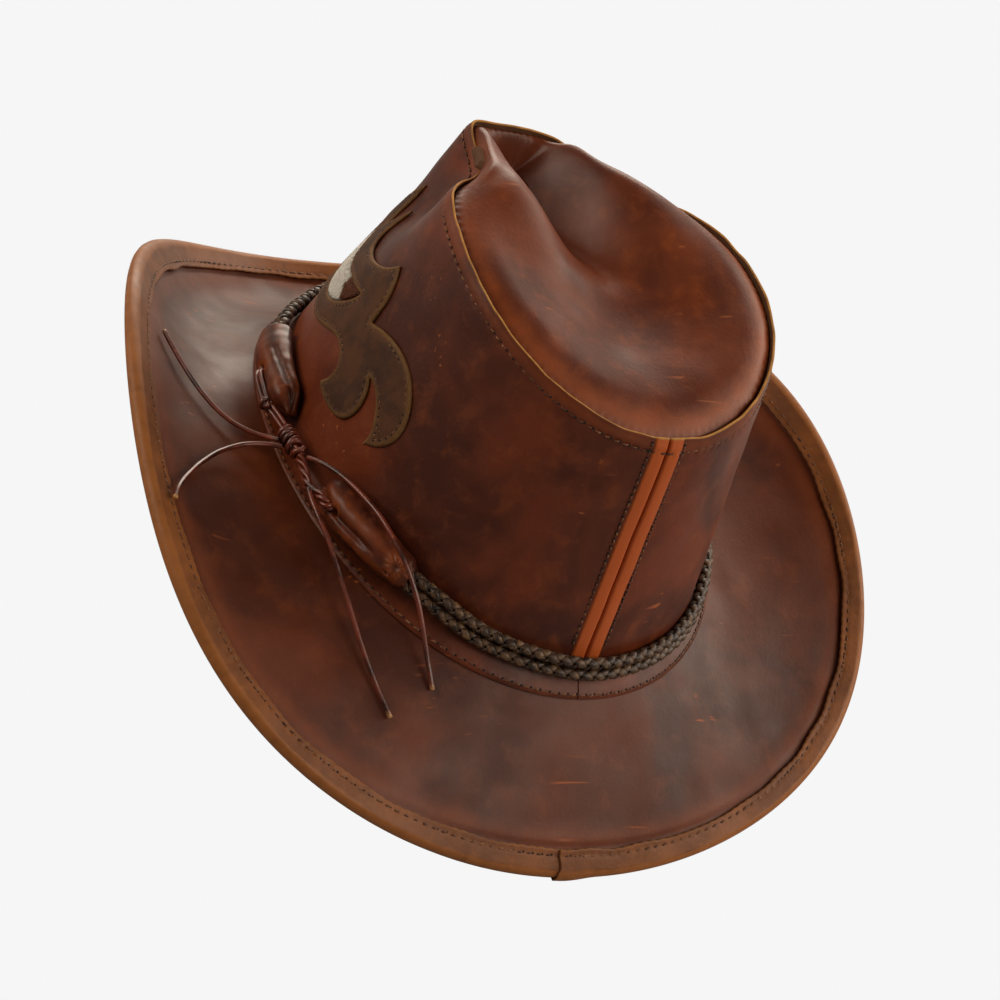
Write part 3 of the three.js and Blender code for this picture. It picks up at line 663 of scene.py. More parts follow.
def lace_look():
    """Waxed round lace, dark red-brown with orange where it is rubbed, tan where it is cut."""
    look = Look("lace_leather", Specular_IOR_Level=0.6, Coat_Weight=0.3, Coat_Roughness=0.2)
    patches = look.noise(12, 4.0, 0.6, 0.4)
    colour = look.mix(look.band(patches, 0.34, 0.62), tone(50, 18, 10), tone(112, 44, 22))
    rub = look.band(look.noise(2.6, 5.0, 0.7), 0.58, 0.78, 0, 0.7)
    colour = look.mix(rub, colour, tone(176, 96, 50))
    colour = look.mix(look.mark("cut"), colour, tone(196, 142, 84))
    normal = look.bump(look.noise(0.7, 4.0, 0.7), 0.12, 0.5)
    return look.finish(colour, look.band(patches, 0.3, 0.7, 0.28, 0.42), normal)


def thread_look():
    look = Look("waxed_thread", Specular_IOR_Level=0.4)
    ply = look.noise(1.2, 3.0)
    colour = look.mix(look.band(ply, 0.35, 0.65), tone(92, 54, 32), tone(146, 98, 62))
    colour = look.mix(look.band(look.noise(25, 2.0), 0.4, 0.6, 0, 0.8), colour, tone(64, 30, 18))
    return look.finish(colour, 0.55, look.bump(look.noise(0.3, 2.0), 0.08, 0.6))


def sweatband_look():
    look = Look("sweatband_leather", Specular_IOR_Level=0.4)
    patches = look.noise(30, 4.0, 0.6)
    colour = look.mix(look.band(patches, 0.35, 0.65), tone(58, 36, 24), tone(82, 54, 36))
    colour = look.mix(look.times(look.mark("raw"), 0.8), colour, tone(120, 84, 54))
    normal = look.bump(look.cells(0.9, "SMOOTH_F1"), 0.08, 0.5)
    return look.finish(colour, look.band(patches, 0.3, 0.7, 0.5, 0.62), normal)


# ---- lace --------------------------------------------------------------------
# Middle lines of the four loose tails, in metres, as they lie over the brim.
LACE_TAILS = {
    "lace_tail_front_upper": [
        (0.0974, 0.0015, 0.0126), (0.0992, 0, 0.0117), (0.101, -0.0015, 0.011),
        (0.1032, -0.0032, 0.0102), (0.1055, -0.005, 0.0096), (0.11, -0.0095, 0.0088),
        (0.1121, -0.012, 0.0087), (0.114, -0.0145, 0.0088), (0.1158, -0.0174, 0.009),
        (0.1175, -0.0205, 0.0093), (0.1205, -0.027, 0.0102), (0.123, -0.034, 0.0113),
        (0.125, -0.0415, 0.0124), (0.1265, -0.048, 0.0134), (0.1276, -0.0535, 0.0142),
    ],
    "lace_tail_front_lower": [
        (0.0974, 0.0055, 0.0126), (0.0996, 0.0044, 0.0121), (0.102, 0.0035, 0.0116),
        (0.107, 0.0028, 0.0108), (0.1098, 0.0029, 0.0105), (0.1125, 0.0032, 0.0102),
        (0.118, 0.0048, 0.0098), (0.121, 0.0061, 0.0097), (0.124, 0.0076, 0.0098),
        (0.13, 0.0116, 0.01), (0.136, 0.0164, 0.0106), (0.1415, 0.0215, 0.0112),
        (0.1465, 0.0266, 0.0119), (0.1505, 0.0316, 0.0124), (0.1534, 0.0365, 0.0123),
    ],
    "lace_tail_rear_upper": [
        (0.0904, 0.0135, 0.0155), (0.0893, 0.0185, 0.0185), (0.088, 0.0245, 0.0214),
        (0.0862, 0.031, 0.0236), (0.084, 0.038, 0.0248), (0.0818, 0.046, 0.0256),
        (0.0794, 0.0542, 0.0256), (0.077, 0.0623, 0.0242), (0.0742, 0.07, 0.0214),
        (0.0712, 0.077, 0.017), (0.0682, 0.083, 0.0116), (0.0654, 0.088, 0.0054),
        (0.0628, 0.0926, -0.001), (0.0606, 0.097, -0.0066), (0.058, 0.1035, -0.0136),
    ],
    "lace_tail_rear_lower": [
        (0.0974, 0.0315, 0.0165), (0.0978, 0.035, 0.0162), (0.0978, 0.0384, 0.0158),
        (0.0968, 0.045, 0.0142), (0.095, 0.0512, 0.0118), (0.0932, 0.0576, 0.0086),
        (0.0921, 0.061, 0.0066), (0.091, 0.0642, 0.0046), (0.0892, 0.0716, 0.0008),
        (0.0872, 0.079, -0.0034), (0.085, 0.0864, -0.0078), (0.0824, 0.0938, -0.0122),
        (0.081, 0.0974, -0.0143), (0.0796, 0.101, -0.0164), (0.0754, 0.111, -0.0215),
    ],
}
KNOT = Sizes(x=92.5, y=4, z=13.5, half_length=7.5, axis=(-0.12, 0.97, 0.05))


def lace_tube(path, start_normal, diameter=LACE, sides=12):
    """Points and faces of one lace, very slightly uneven, and how near each point is to the last cut."""
    normals = steady_normals(path, np.asarray(start_normal, float))
    run = np.arange(len(path)) / (len(path) - 1)
    sizes = 1 + 0.025 * waves(path, 5, 3)
    sizes[-2:] *= (0.99, 0.93)
    points, faces = sweep(path, normals, oval(diameter, diameter * 0.94, sides), sizes)
    cut = np.concatenate([np.repeat(ease(run, 0.985, 1.0), sides), [0, 1]])
    return points, faces, cut


def make_tails(looks):
    for name, route in LACE_TAILS.items():
        path = smooth_curve(np.array(route) / MM, 8)
        points, faces, cut = lace_tube(path, (0, 0, 1))
        tail = add_piece(name + "_lace", points, faces, [looks.lace], stands_for=[name],
                         slot="lace_leather", values={"cut": cut})
        length = float(np.linalg.norm(np.diff(path, axis=0), axis=1).sum()) * MM


def helix(centre, axis, across, up, radius, turns, run, start, steps):
    """A path of turns round an axis, from run[0] to run[1] along it; radius may change along the way."""
    t = np.linspace(0, 1, steps)[:, None]
    a = start + t * turns * 2 * math.pi
    radii = np.interp(t, np.linspace(0, 1, len(radius)), radius)
    s = run[0] + (run[1] - run[0]) * t
    return centre + axis * s + radii * (across * np.cos(a) + up * np.sin(a))


def make_knot(looks):
    """Three turns of lace round the strands, then a half hitch, all pulled tight."""
    centre = np.array([KNOT.x, KNOT.y, KNOT.z])
    axis = unit(np.array(KNOT.axis))
    across = unit(np.cross((0, 0, 1), axis))
    up = np.cross(axis, across)
    axes = (axis, across, up)
    paths = [
        helix(centre, *axes, (3.0, 3.1, 2.9), 2.9, (-6.2, -0.6), 1.2, 90),
        helix(centre, *axes, (2.8, 3.2, 2.4), 1.15, (-0.8, 5.2), 0.4, 50),
        helix(centre, *axes, (2.6, 3.1, 2.2), -1.2, (1.0, 6.6), 2.6, 50),
    ]
    for k in range(4):
        a = k * math.pi / 2 + 0.5
        offset = across * math.cos(a) * 1.05 + up * math.sin(a) * 1.05
        paths.append(helix(centre + offset, *axes, (0.25, 0.25), 0.6, (-7.6, 7.4), a, 24))
    parts = [lace_tube(path, across, LACE * 0.95, 10)[:2] for path in paths]
    add_strands("knot_turns", parts, looks, "lace_knot")


def make_lace_runs(looks):
    """Two strands side by side to the front tab, in a small ring, and three twisted ones to the rear."""
    over = [tab_spot(FRONT_TAB, Sizes(s=FRONT_HOLE.s + ds, angle=da), lift)
            for ds, da, lift in ((0, 0, -2.5), (0.06, 0.0, 0.9), (0.22, -0.02, 1.2), (0.4, -0.05, 1.2))]
    front = smooth_curve([*over, (97.6, -18, 14.8), (95.4, -11, 14.8), (93.4, -4.0, 14.2)], 12)
    side = unit(np.cross(along(front), (1.0, 0, 0.5)))
    parts = [lace_tube(front + side * s, (0, 0, 1), LACE * 0.9, 10)[:2] for s in (-0.92, 0.92)]
    k = int(len(front) * 0.56)
    ahead = along(front)[k]
    across, up = side[k], np.cross(ahead, side[k])
    ring = helix(front[k], ahead, across, up, (1.9, 1.9), 1.15, (-0.8, 0.9), 0.3, 40)
    parts.append(lace_tube(ring, ahead, LACE * 0.8, 10)[:2])
    add_strands("lace_front_strands", parts, looks, "lace_front")
    hole = [tab_spot(REAR_TAB, Sizes(s=REAR_HOLE.s + ds, angle=REAR_HOLE.angle), lift)
            for ds, lift in ((0.1, 1.2), (0.03, 1.0), (0, -2.0))]
    rear = smooth_curve([(91.9, 10.6, 13.2), (91.9, 15, 12.6), (92.6, 21, 12), (94.2, 27, 12.6), *hole], 12)
    ahead = along(rear)
    side = unit(np.cross(ahead, (1.0, 0, 0.3)))
    up = np.cross(side, ahead)
    t = np.linspace(0, 1, len(rear))[:, None]
    parts = []
    for phase in (0.0, 2 * math.pi / 3, 4 * math.pi / 3):
        a = phase + t * 2 * math.pi * 2.3
        path = rear + (side * np.cos(a) + up * np.sin(a)) * (1.15 * (1 - 0.5 * ease(t, 0.85, 1)))
        parts.append(lace_tube(path, (0, 0, 1), LACE * 0.88, 10)[:2])
    add_strands("lace_rear_strands", parts, looks, "lace_rear")


def add_strands(name, parts, looks, node):
    """Several lace tubes as one piece, with none of their cut ends showing."""
    points, faces = join(parts)
    add_piece(name, points, faces, [looks.lace], stands_for=[node], slot="lace_leather",
              values={"cut": np.zeros(len(points))})


# ---- crown -------------------------------------------------------------------
SEAM = Sizes(half=5.7, raise_=0.85, groove=1.5, slit=0.22, lip=1.3)
STITCH = Sizes(tip=3.9, foot=4.0, binding=4.2, seam=3.2, applique=3.1, sweat=4.0)  # pitches
TIP_ROW = 3.2  # how far the stitch row lies below the tip seam
PUCKERS = Sizes(tip=115, foot=150, binding=240)  # how many lie round the hat


def seam_profile(x):
    """Height of the back seam's two strips, x millimetres from the middle of the back."""
    a = np.abs(x)
    strip = SEAM.raise_ * (0.85 + 0.25 * np.sin(np.clip(a / SEAM.half, 0, 1) * math.pi))
    strip = strip * (1 - ease(a, SEAM.half - 0.25, SEAM.half + 0.35))
    lip = np.sqrt(np.clip(1 - ((SEAM.lip - a) / 1.15) ** 2, 0, 1)) * (a < SEAM.lip) + (a >= SEAM.lip)
    return strip * lip - SEAM.groove * (1 - lip)


def panel_angles():
    """Angles of the side panel's columns, close together where they cross the back seam's strips."""
    near = np.array([SEAM.slit, 0.34, 0.5, 0.75, 1.05, 1.4, 1.9, 2.5, 3.1, 3.7, 4.3, 4.9, 5.3, 5.5,
                     5.7, 5.9, 6.1, 6.4, 6.9, 7.5, 8.2]) / PER_DEGREE
    regular = np.arange(math.ceil(near[-1] * 2) / 2, 180, 360 / ROUND)
    away = np.concatenate([near, regular])
    return np.concatenate([away - 180, 180 - away[::-1][1:]])


def even_strips(theta, h):
    """Angles moved so that the columns by the back seam stay the same distance apart all the way up."""
    away = 180 - np.abs(theta)
    v = np.clip(h / slant(theta), 0, 1)
    squeeze = HEAD.half_width / (HEAD.half_width * (1 - v) + TIP.half_width * v)
    wider = away * (1 + (squeeze - 1) * (1 - ease(away, 6, 25)))
    return np.sign(theta) * (180 - wider)


def pucker(theta, count, depth_at, amount):
    """Dents of a stitched edge, as many as count round the hat."""
    return -amount * depth_at * (0.5 + 0.5 * np.cos(np.radians(theta) * count))


def make_side_panel(looks):
    theta = panel_angles()[:, None]
    top = slant(theta) + LIP
    share = np.concatenate([np.linspace(0, 0.09, 15), np.linspace(0.108, 1, 42)])[None, :]
    h = top * (1 - share) + 6.0 * share
    angle = even_strips(theta, h)
    base = wall(angle, h)
    below = top - h
    puckers = pucker(angle, PUCKERS.tip, bell(below - LIP - TIP_ROW, 1.1), 0.28)
    thin = -0.45 * (1 - ease(below, 0, 3.2))
    limp = 0.28 * waves(base, 30, 1) + 0.12 * waves(base, 9, 2)
    seam = seam_profile(base[..., 0]) * (base[..., 1] > 0) * (1 - 0.35 * (1 - ease(below, 0, 4)))
    edge_waves = 0.25 * waves(base, 6, 5) * (1 - ease(below, 0, 3))
    outer = wall(angle, h + edge_waves, thin + puckers + limp + seam)
    inner = wall(angle, h + edge_waves, -WALL + 0.5 * (1 - ease(below, 0, 3)) + limp * 0.7)
    # the foot turns out on to the brim
    corner = wall(theta, FLANGE.thick + 0.6, 0)
    start, end = outer[:, -1:], brim_out(theta, FLANGE.bend, GAP + FLANGE.thick)
    t = np.linspace(0, 1, 8)[None, 1:, None]
    bend_out = start * (1 - t) ** 2 + corner * 2 * t * (1 - t) + end * t**2
    d = np.linspace(FLANGE.bend, FLANGE.width, 7)[None, 1:]
    skived = FLANGE.thick * (1 - 0.6 * ease(d, FLANGE.width - 1.2, FLANGE.width))
    stitched = pucker(theta, PUCKERS.foot, bell(d - FLANGE.width + FLANGE.stitch_in, 0.9), 0.2)
    flat_out = brim_out(theta, d, GAP + skived + stitched)
    inner_start, inner_end = inner[:, -1:], brim_out(theta, 4.0, GAP)
    inner_corner = wall(theta, GAP + 0.2, -WALL)
    bend_in = inner_start * (1 - t) ** 2 + inner_corner * 2 * t * (1 - t) + inner_end * t**2
    flat_in = brim_out(theta, np.maximum(d - 0.3, FLANGE.bend), GAP)
    outer = np.concatenate([outer, bend_out, flat_out], axis=1)
    inner = np.concatenate([inner, bend_in, flat_in], axis=1)
    extra = outer.shape[1] - h.shape[1]
    strip = (1 - ease(np.abs(base[..., 0]), SEAM.half, SEAM.half + 0.5)) * (base[..., 1] > 0)
    shade = 0.35 * bell(below - 2.5, 2.5) + 0 * strip
    bent = np.pad(shade, ((0, 0), (0, extra)), constant_values=0.1)
    strip = np.pad(strip, ((0, 0), (0, extra)))
    leather("crown_side", outer, inner, False, [looks.crown], {"bent": bent, "strip": strip}, cut=(1, 0.1),
            stands_for=["crown_side_panel"], slot="crown_leather")


def make_tip(looks):
    theta = RING[:, None]
    inset = WALL + GAP
    top = slant(theta)
    edge_h = top - np.array([9.0, 5.0, 2.0, 0.8])[None, :]
    hem_out, hem_in = wall(theta, edge_h, -inset), wall(theta, edge_h - 0.2, -inset - TIP_LEATHER)
    r = np.concatenate([1 - np.linspace(0.004, 0.2, 28), np.linspace(0.788, 0.006, 34)])[None, :]
    cover = tip_face(theta, r, inset)
    limp = (0.3 * waves(cover, 34, 21) + 0.1 * waves(cover, 10, 22)) * ease(1 - r, 0, 0.08)
    puckers = pucker(theta, PUCKERS.tip, bell(1 - r - 0.012, 0.02), 0.25)
    # on the left, the pinched leather folds out over the seam
    off = turn(theta)
    fold = bell(off - LEFT_PINCH.angle + 2, 11) * bell(1 - r - 0.07, 0.06)
    cover = cover + xyz(fold * 5.5, fold * 1.5, limp + puckers + fold * 3.6)
    across = np.gradient(cover, axis=1)
    around = np.roll(cover, -1, axis=0) - np.roll(cover, 1, axis=0)
    normal = unit(np.cross(across, around))
    normal = normal * np.sign(normal[..., 2:3])
    under = cover - normal * TIP_LEATHER
    bent = 0.75 * bell(1 - r - 0.06, 0.055) * (0.55 + 0.45 * np.cos(np.radians(theta + 160)))
    bent = np.pad(np.broadcast_to(bent, cover.shape[:2]), ((0, 0), (edge_h.shape[1], 0)))
    outer, inner = np.concatenate([hem_out, cover], axis=1), np.concatenate([hem_in, under], axis=1)
    leather("crown_top", outer, inner, True, [looks.tip], {"bent": bent}, stands_for=["crown_tip"],
            slot="crown_leather")


def make_crown_stitches(looks):
    threads = [looks.thread, looks.hole]
    over = bell(180 - np.abs(RING), 3.5) * 0.9
    h = slant(RING) - TIP_ROW
    row = walk(wall(RING, h, 0.05 + over), wall_normal(RING, h), STITCH.tip, True)
    stitch_row("stitches_tip_seam", [row], 2.7, threads, stands_for=["thread_tip_seam"], slot="thread")
    path = brim_out(RING, FLANGE.width - FLANGE.stitch_in, GAP + FLANGE.thick + 0.05)
    row = walk(path, brim_normal(RING, 0.1), STITCH.foot, True)
    stitch_row("stitches_crown_foot", [row], 2.8, threads, stands_for=["thread_crown_foot"],
               slot="thread")
    for side, name in ((1, "left"), (-1, "right")):
        h = np.linspace(14, 103, 60)
        v = h / slant(180.0)
        half = HEAD.half_width * (1 - v) + TIP.half_width * v
        angle = 180 - side * np.degrees(np.arcsin((SEAM.half + 1.5) / half))
        row = walk(wall(angle, h, 0.15), wall_normal(angle, h), STITCH.seam)
        stitch_row("stitches_back_seam_" + name, [row], 2.1, threads,
                   stands_for=["thread_back_seam_" + name], slot="thread")


# ---- brim --------------------------------------------------------------------
def make_brim(looks):
    theta = RING[:, None]
    width = brim_width(theta)
    share = np.linspace(0, 1, 64)[None, :]
    start = -1.9  # just inside the crown's outer face
    d = start + (width - EDGE_CENTRE - WIRE_RADIUS - GAP - start) * share
    flat = brim_out(theta, d)
    limp = 0.35 * waves(flat, 45, 31) + 0.12 * waves(flat, 12, 32)
    limp = limp * ease(d, 10, 20) * ease(width - d, 10, 22)
    press = -0.5 * bell(width - d - BINDING.width - 0.8, 1.5)
    bent = 0.5 * bell(width - d - BINDING.width - 4, 4) * np.ones_like(d)
    parts = (("upper", limp + press, limp - PLY, "brim_upper"),
             ("lower", limp - PLY - GAP, limp - press - 2 * PLY - GAP, "brim_lower"))
    for name, high, low, node in parts:
        leather("brim_" + name + "_leather", brim_out(theta, d, high), brim_out(theta, d, low), True,
                [looks.brim], {"bent": bent}, stands_for=[node], slot="crown_leather")


def lap_lift(theta):
    """How far the binding's overlapping end stands off the end under it."""
    return LAP.lift * (1 - ease(theta + 180, -0.4, LAP.fade))


def make_binding(looks):
    """The strip folded round the brim's edge, its first end lapped over its last one at the back."""
    first = -180 - LAP.angle
    theta = np.concatenate([[first], np.arange(first + 0.1, 180, 360 / ROUND / 1.5), [180.0]])[:, None]
    arc = np.radians(np.linspace(75, -75, 9))[None, :]
    legs = np.linspace(BINDING.width, EDGE_CENTRE, 16)[None, :]
    end_bow = 0.5 * np.sin(legs / BINDING.width * 5)
    phase = np.radians(theta) * PUCKERS.binding
    row = BINDING.width - BINDING.stitch_in
    dimple = -0.3 * bell(legs - row, 1.0) * (0.6 + 0.4 * np.cos(phase))
    scallop = 0.14 * np.cos(phase) * (legs > BINDING.width - 0.5)
    uneven = 0.35 * waves(brim_in(theta, 0), 14, 41)
    skew = np.where(theta < -178, end_bow * bell(theta - first, 0.8), 0)

    proud = (dimple + 0.1 * waves(brim_in(theta, legs), 12, 42)) * 0.9

    def face(depth):
        fat = EDGE_CENTRE - depth + lap_lift(theta)
        top = brim_in(theta + skew / 2.6, legs + scallop + uneven, BRIM_MIDDLE + fat + proud)
        around = brim_in(theta, EDGE_CENTRE - fat * np.cos(arc), BRIM_MIDDLE + fat * np.sin(arc))
        bottom = brim_in(theta, (legs + scallop)[:, ::-1], BRIM_MIDDLE - fat - proud[:, ::-1])
        return np.concatenate([top, around, bottom], axis=1)

    outer, inner = face(0), face(BINDING.thick)
    fold = np.concatenate([0.25 + 0 * legs, 0.75 + 0 * arc, 0.25 + 0 * legs], axis=1) * np.ones_like(theta)
    leather("edge_binding", outer, inner, False, [looks.binding], {"bent": fold}, cut=(0.3, 0.3),
            stands_for=["brim_binding"], slot="binding_leather")
    around = np.linspace(-180, 180, ROUND * 2, endpoint=False)
    lift = lap_lift(around) + LAP.lift * (around > 180 - LAP.angle)
    rows = []
    for sign in (1, -1):
        path = brim_in(around, row, BRIM_MIDDLE + sign * (EDGE_CENTRE - 0.2 + lift))
        rows.append(walk(path, brim_normal(around, 0.9) * sign, STITCH.binding, True))
    stitch_row("stitches_binding", rows, 2.9, [looks.thread, looks.hole], sink=0.1,
               stands_for=["thread_binding"], slot="thread")


# ---- sweatband ---------------------------------------------------------------
def make_sweatband(looks):
    end = 0.3 / PER_DEGREE  # half the slit between its two ends at the back
    theta = np.linspace(-180 + end, 180 - end, ROUND)[:, None]
    h = np.linspace(31, 0.6, 24)[None, :]
    base = wall(theta, h, -WALL)
    off = 0.5 + 0.7 * ease(h, 8, 31) * (1 + 0.5 * waves(base, 40, 51)) + 0.12 * waves(base, 12, 52)
    thick = 1.2 + 0.4 * bell(h - 2.2, 1.3)
    outer = wall(theta, h, -WALL - off)
    inner = wall(theta, h, -WALL - off - thick)
    leather("head_band", inner, outer, False, [looks.sweat], {"bent": 0 * h + 0 * theta},
            stands_for=["sweatband"], slot="sweatband_leather")
    row = walk(wall(RING, 4.6, -WALL - 1.75), -wall_normal(RING, 4.6), STITCH.sweat, True)
    stitch_row("stitches_head_band", [row], 2.7, [looks.thread, looks.hole], slot="thread")


# ---- hatband -----------------------------------------------------------------
FRONT_TAB = Sizes(mouth=56, tip=84, taper=0.6, notch=0.0)
REAR_TAB = Sizes(mouth=132, tip=104, taper=0.42, notch=0.13)
CORD_ENDS = Sizes(front=75, rear=113)
CORD_PITCH = 2 * CORD_RADIUS + GAP
BRAID = Sizes(strands=2, slope=38, width=2.9, thick=1.25, wave=0.48)
TAB = Sizes(below=6.9, above=9.8, inward=4.4, outward=7.8, lift=2.8, stand_off=1.9, length=40,
            girth_radius=7.5)
# Places on the tabs: s from 0 at the mouth to 1 at the tip, and the angle round the tab in radians.
FRONT_HOLE = Sizes(s=0.55, angle=0.0)
REAR_HOLE = Sizes(s=0.76, angle=0.12)
FRONT_FOLD = Sizes(angle=0.9, swing=0.9, depth=0.8, start=0.3)
REAR_FOLD = Sizes(angle=0.12, swing=-0.3, depth=1.5, start=0.22)
FRONT_GATHER = Sizes(s=0.9, angle=0.4, amount=0.0)
REAR_GATHER = Sizes(s=0.11, angle=0.42, amount=1.0)


def in_tab(theta):
    return ease(-np.abs(turn(np.asarray(theta) - 94)), -60, -42)


def band_middle(theta):
    over_seam = bell(180 - np.abs(turn(theta)), 9)
    h = FLANGE.thick + GAP + CORD_RADIUS + 0.5 + CORD_PITCH / 2 + TAB.lift * in_tab(theta)
    return h, CORD_RADIUS + 0.65 + TAB.stand_off * in_tab(theta) + 0.8 * over_seam


def braid(name, centre, normals, looks, node):
    """A round braid of strands that run both ways round the cord, each over one and under one."""
    run = np.concatenate([[0], np.cumsum(np.linalg.norm(np.diff(centre, axis=0), axis=1))])
    ahead = along(centre)
    side = unit(np.cross(ahead, normals))
    up = np.cross(side, ahead)
    middle = CORD_RADIUS - BRAID.thick / 2 - BRAID.wave * 0.75
    spin = math.tan(math.radians(BRAID.slope)) / middle
    a = np.arange(8) / 8 * 2 * math.pi
    section = np.stack([np.sign(np.cos(a)) * np.abs(np.cos(a)) ** 0.75 * BRAID.width / 2,
                        np.sin(a) * BRAID.thick / 2], axis=1)
    parts, crowns = [], []
    for way in (1, -1):
        for k in range(BRAID.strands):
            angle = (2 * math.pi * k / BRAID.strands + way * spin * run)[:, None]
            wave = way * np.cos(BRAID.strands * spin * run)[:, None]
            outward = side * np.cos(angle) + up * np.sin(angle)
            path = centre + outward * (middle + BRAID.wave * wave)
            points, faces = sweep(path, outward, section)
            parts.append((points, faces))
            crown = 0.5 + 0.5 * wave + 0 * section[None, :, 0]
            crowns.append(np.concatenate([crown.ravel(), [0, 0]]))
    points, faces = join(parts)
    add_piece(name, points, faces, [looks.braid], stands_for=[node], slot="braid_leather",
              values={"crown": np.concatenate(crowns)})


def make_braids(looks):
    theta = np.linspace(CORD_ENDS.front, CORD_ENDS.rear - 360, 950)
    h, out = band_middle(theta)
    for level, word in ((-1, "lower"), (1, "upper")):
        height = h + level * CORD_PITCH / 2
        braid("braid_" + word, wall(theta, height, out), wall_normal(theta, height), looks,
              "hatband_cord_" + word)


def tab_face(tab, s, angle, below, above, inward, outward):
    theta = tab.mouth + s * (tab.tip - tab.mouth)
    h, out = band_middle(theta)
    c, sn = np.cos(angle), np.sin(angle)
    return wall(theta, h + sn * np.where(sn > 0, above, below), out + c * np.where(c > 0, outward, inward))


def around_spot(s, angle, spot):
    """Distance in mm over a tab's face from a spot on it, and the direction of it."""
    along_tab = (s - spot.s) * TAB.length
    across_tab = np.angle(np.exp(1j * (angle - spot.angle))) * TAB.girth_radius
    return np.hypot(along_tab, across_tab), np.arctan2(along_tab, across_tab)


def make_tab(node, tab, looks, fold, hole, gather):
    """A folded leather pod: open where the cords go in, drawn together where the lace ties on."""
    angle = np.arange(128)[None, :] / 128 * 2 * math.pi
    stretches = ((0, 0.12, 14), (0.13, 0.85, 62), (0.86, 1, 20))
    s = np.concatenate([np.linspace(*stretch) for stretch in stretches])[:, None]
    size = 0.8 + 0.2 * ease(s, 0, 0.35) - tab.taper * ease(s, 0.78, 1) ** 2
    size = size * np.sqrt(np.clip(1 - (np.clip(s - 0.9, 0, 1) / 0.101) ** 2, 0.004, 1))
    size = size * (1 - 0.3 * (1 - ease(s, 0, 0.06)))
    off = np.angle(np.exp(1j * (angle - fold.angle - fold.swing * (s - 0.5))))
    reach = s - tab.notch * bell(off, 0.55) * ease(s, 0.6, 1)
    place = tab_face(tab, reach, angle, TAB.below * size, TAB.above * size, TAB.inward, TAB.outward * size)
    soft = 0.3 * waves(place, 10, 61) + 0.12 * waves(place, 3.6, 62)
    length_share = ease(s, fold.start, fold.start + 0.25) * (1 - ease(s, 0.9, 1))
    banks = 0.45 * (bell(off - 0.5, 0.3) + bell(off + 0.5, 0.3))
    dent = fold.depth * length_share * (banks - bell(off, 0.13))
    far, _ = around_spot(s, angle, hole)
    near, ray = around_spot(s, angle, gather)
    rosette = bell(near, 3.6) * 0.9 + bell(near - 2.2, 1.6) * 0.3 * np.cos(11 * ray) - 0.9 * bell(near, 0.8)
    ribs = 0.25 * np.cos(angle * 9 + 1.5 * np.sin(s * 9)) * ease(s, 0.75, 0.95)
    push = soft + dent + rosette * gather.amount + ribs - 2.2 * bell(far, 1.1) - 0.5 * bell(far, 3)
    beside, _ = around_spot(s, angle, Sizes(s=gather.s + 0.04, angle=gather.angle - 0.62))
    push = push - 1.4 * gather.amount * bell(beside, 0.7)
    puffed = tab_face(tab, reach, angle, TAB.below * size + push, TAB.above * size + push,
                      TAB.inward + 0 * push, TAB.outward * size + push)
    lip = tab_face(tab, np.array([[0.3], [0.12], [0.02]]), angle, 5.0, 5.4, 2.9, 3.2)
    points = np.concatenate([lip, puffed], axis=0)
    rows, columns = points.shape[:2]
    faces = grid_faces(rows, columns, False, True)
    ends = np.stack([points[0].mean(axis=0), points[-1].mean(axis=0)])
    faces += fans(0, columns, rows * columns) + fans((rows - 1) * columns, columns, rows * columns + 1)
    bent = np.zeros((rows, columns))
    bent[3:] = np.clip(0.5 * bell(np.abs(off) - 0.5, 0.3) + 0.7 * bell(near - 2.4, 1.4) * gather.amount
                       + 0.4 * bell(far - 2, 1), 0, 1)
    mark = {"bent": np.concatenate([bent.ravel(), [0, 0]])}
    add_piece(node + "_leather", np.vstack([points.reshape(-1, 3), ends]), faces, [looks.tab],
              stands_for=[node], slot="crown_leather", values=mark)


def make_tabs(looks):
    make_tab("front_tab", FRONT_TAB, looks, FRONT_FOLD, FRONT_HOLE, FRONT_GATHER)
    make_tab("rear_tab", REAR_TAB, looks, REAR_FOLD, REAR_HOLE, REAR_GATHER)


def tab_spot(tab, spot, lift):
    """A point over a tab's face, lift millimetres off it."""
    return tab_face(tab, spot.s, spot.angle, TAB.below, TAB.above + lift, TAB.inward, TAB.outward + lift)


# ---- applique ----------------------------------------------------------------
APPLIQUE = Sizes(lift=0.35, under=0.3, thick=1.3, inlay_thick=0.9, stitch_in=2.3, second_in=4.0)
# Corners of the outlines, as degrees round the hat and millimetres up the crown's side.
OVERLAY_OUTLINE = [
    (45, 87), (46.5, 79), (48.5, 72.5), (53.5, 69), (60, 70), (66.5, 73.5), (72, 78.5), (76.5, 85.5),
    (79.5, 81), (81.7, 75), (82.4, 68.5), (82.8, 62.5), (88, 66), (94, 68.2), (100, 67.6), (104.6, 64.5),
    (108.4, 58), (110.4, 50), (110, 42.5), (107.4, 36), (103.8, 31.8), (104, 36.6), (102.4, 42.2),
    (99.8, 47.2), (96.8, 50), (94, 50.6), (96, 46), (97, 40.5), (96.8, 35), (95.2, 30), (92, 27.2),
    (88, 26.4), (84.6, 26.7), (82, 28), (83.6, 33.2), (83.4, 38.2), (81.4, 41.8), (78, 43.4), (74, 42.3),
    (69, 38.3), (62.5, 33), (56, 30.2), (49.5, 29.8), (43.5, 32.4), (39, 38), (36, 46), (34.4, 56),
    (33.6, 66), (33.4, 76), (34.4, 86), (36.8, 95), (38.6, 87), (39.8, 79.5), (41.8, 73), (43.6, 79),
]
SHARP = [(45, 87), (76.5, 85.5), (82.8, 62.5), (103.8, 31.8), (94, 50.6), (82, 28), (36.8, 95), (41.8, 73)]
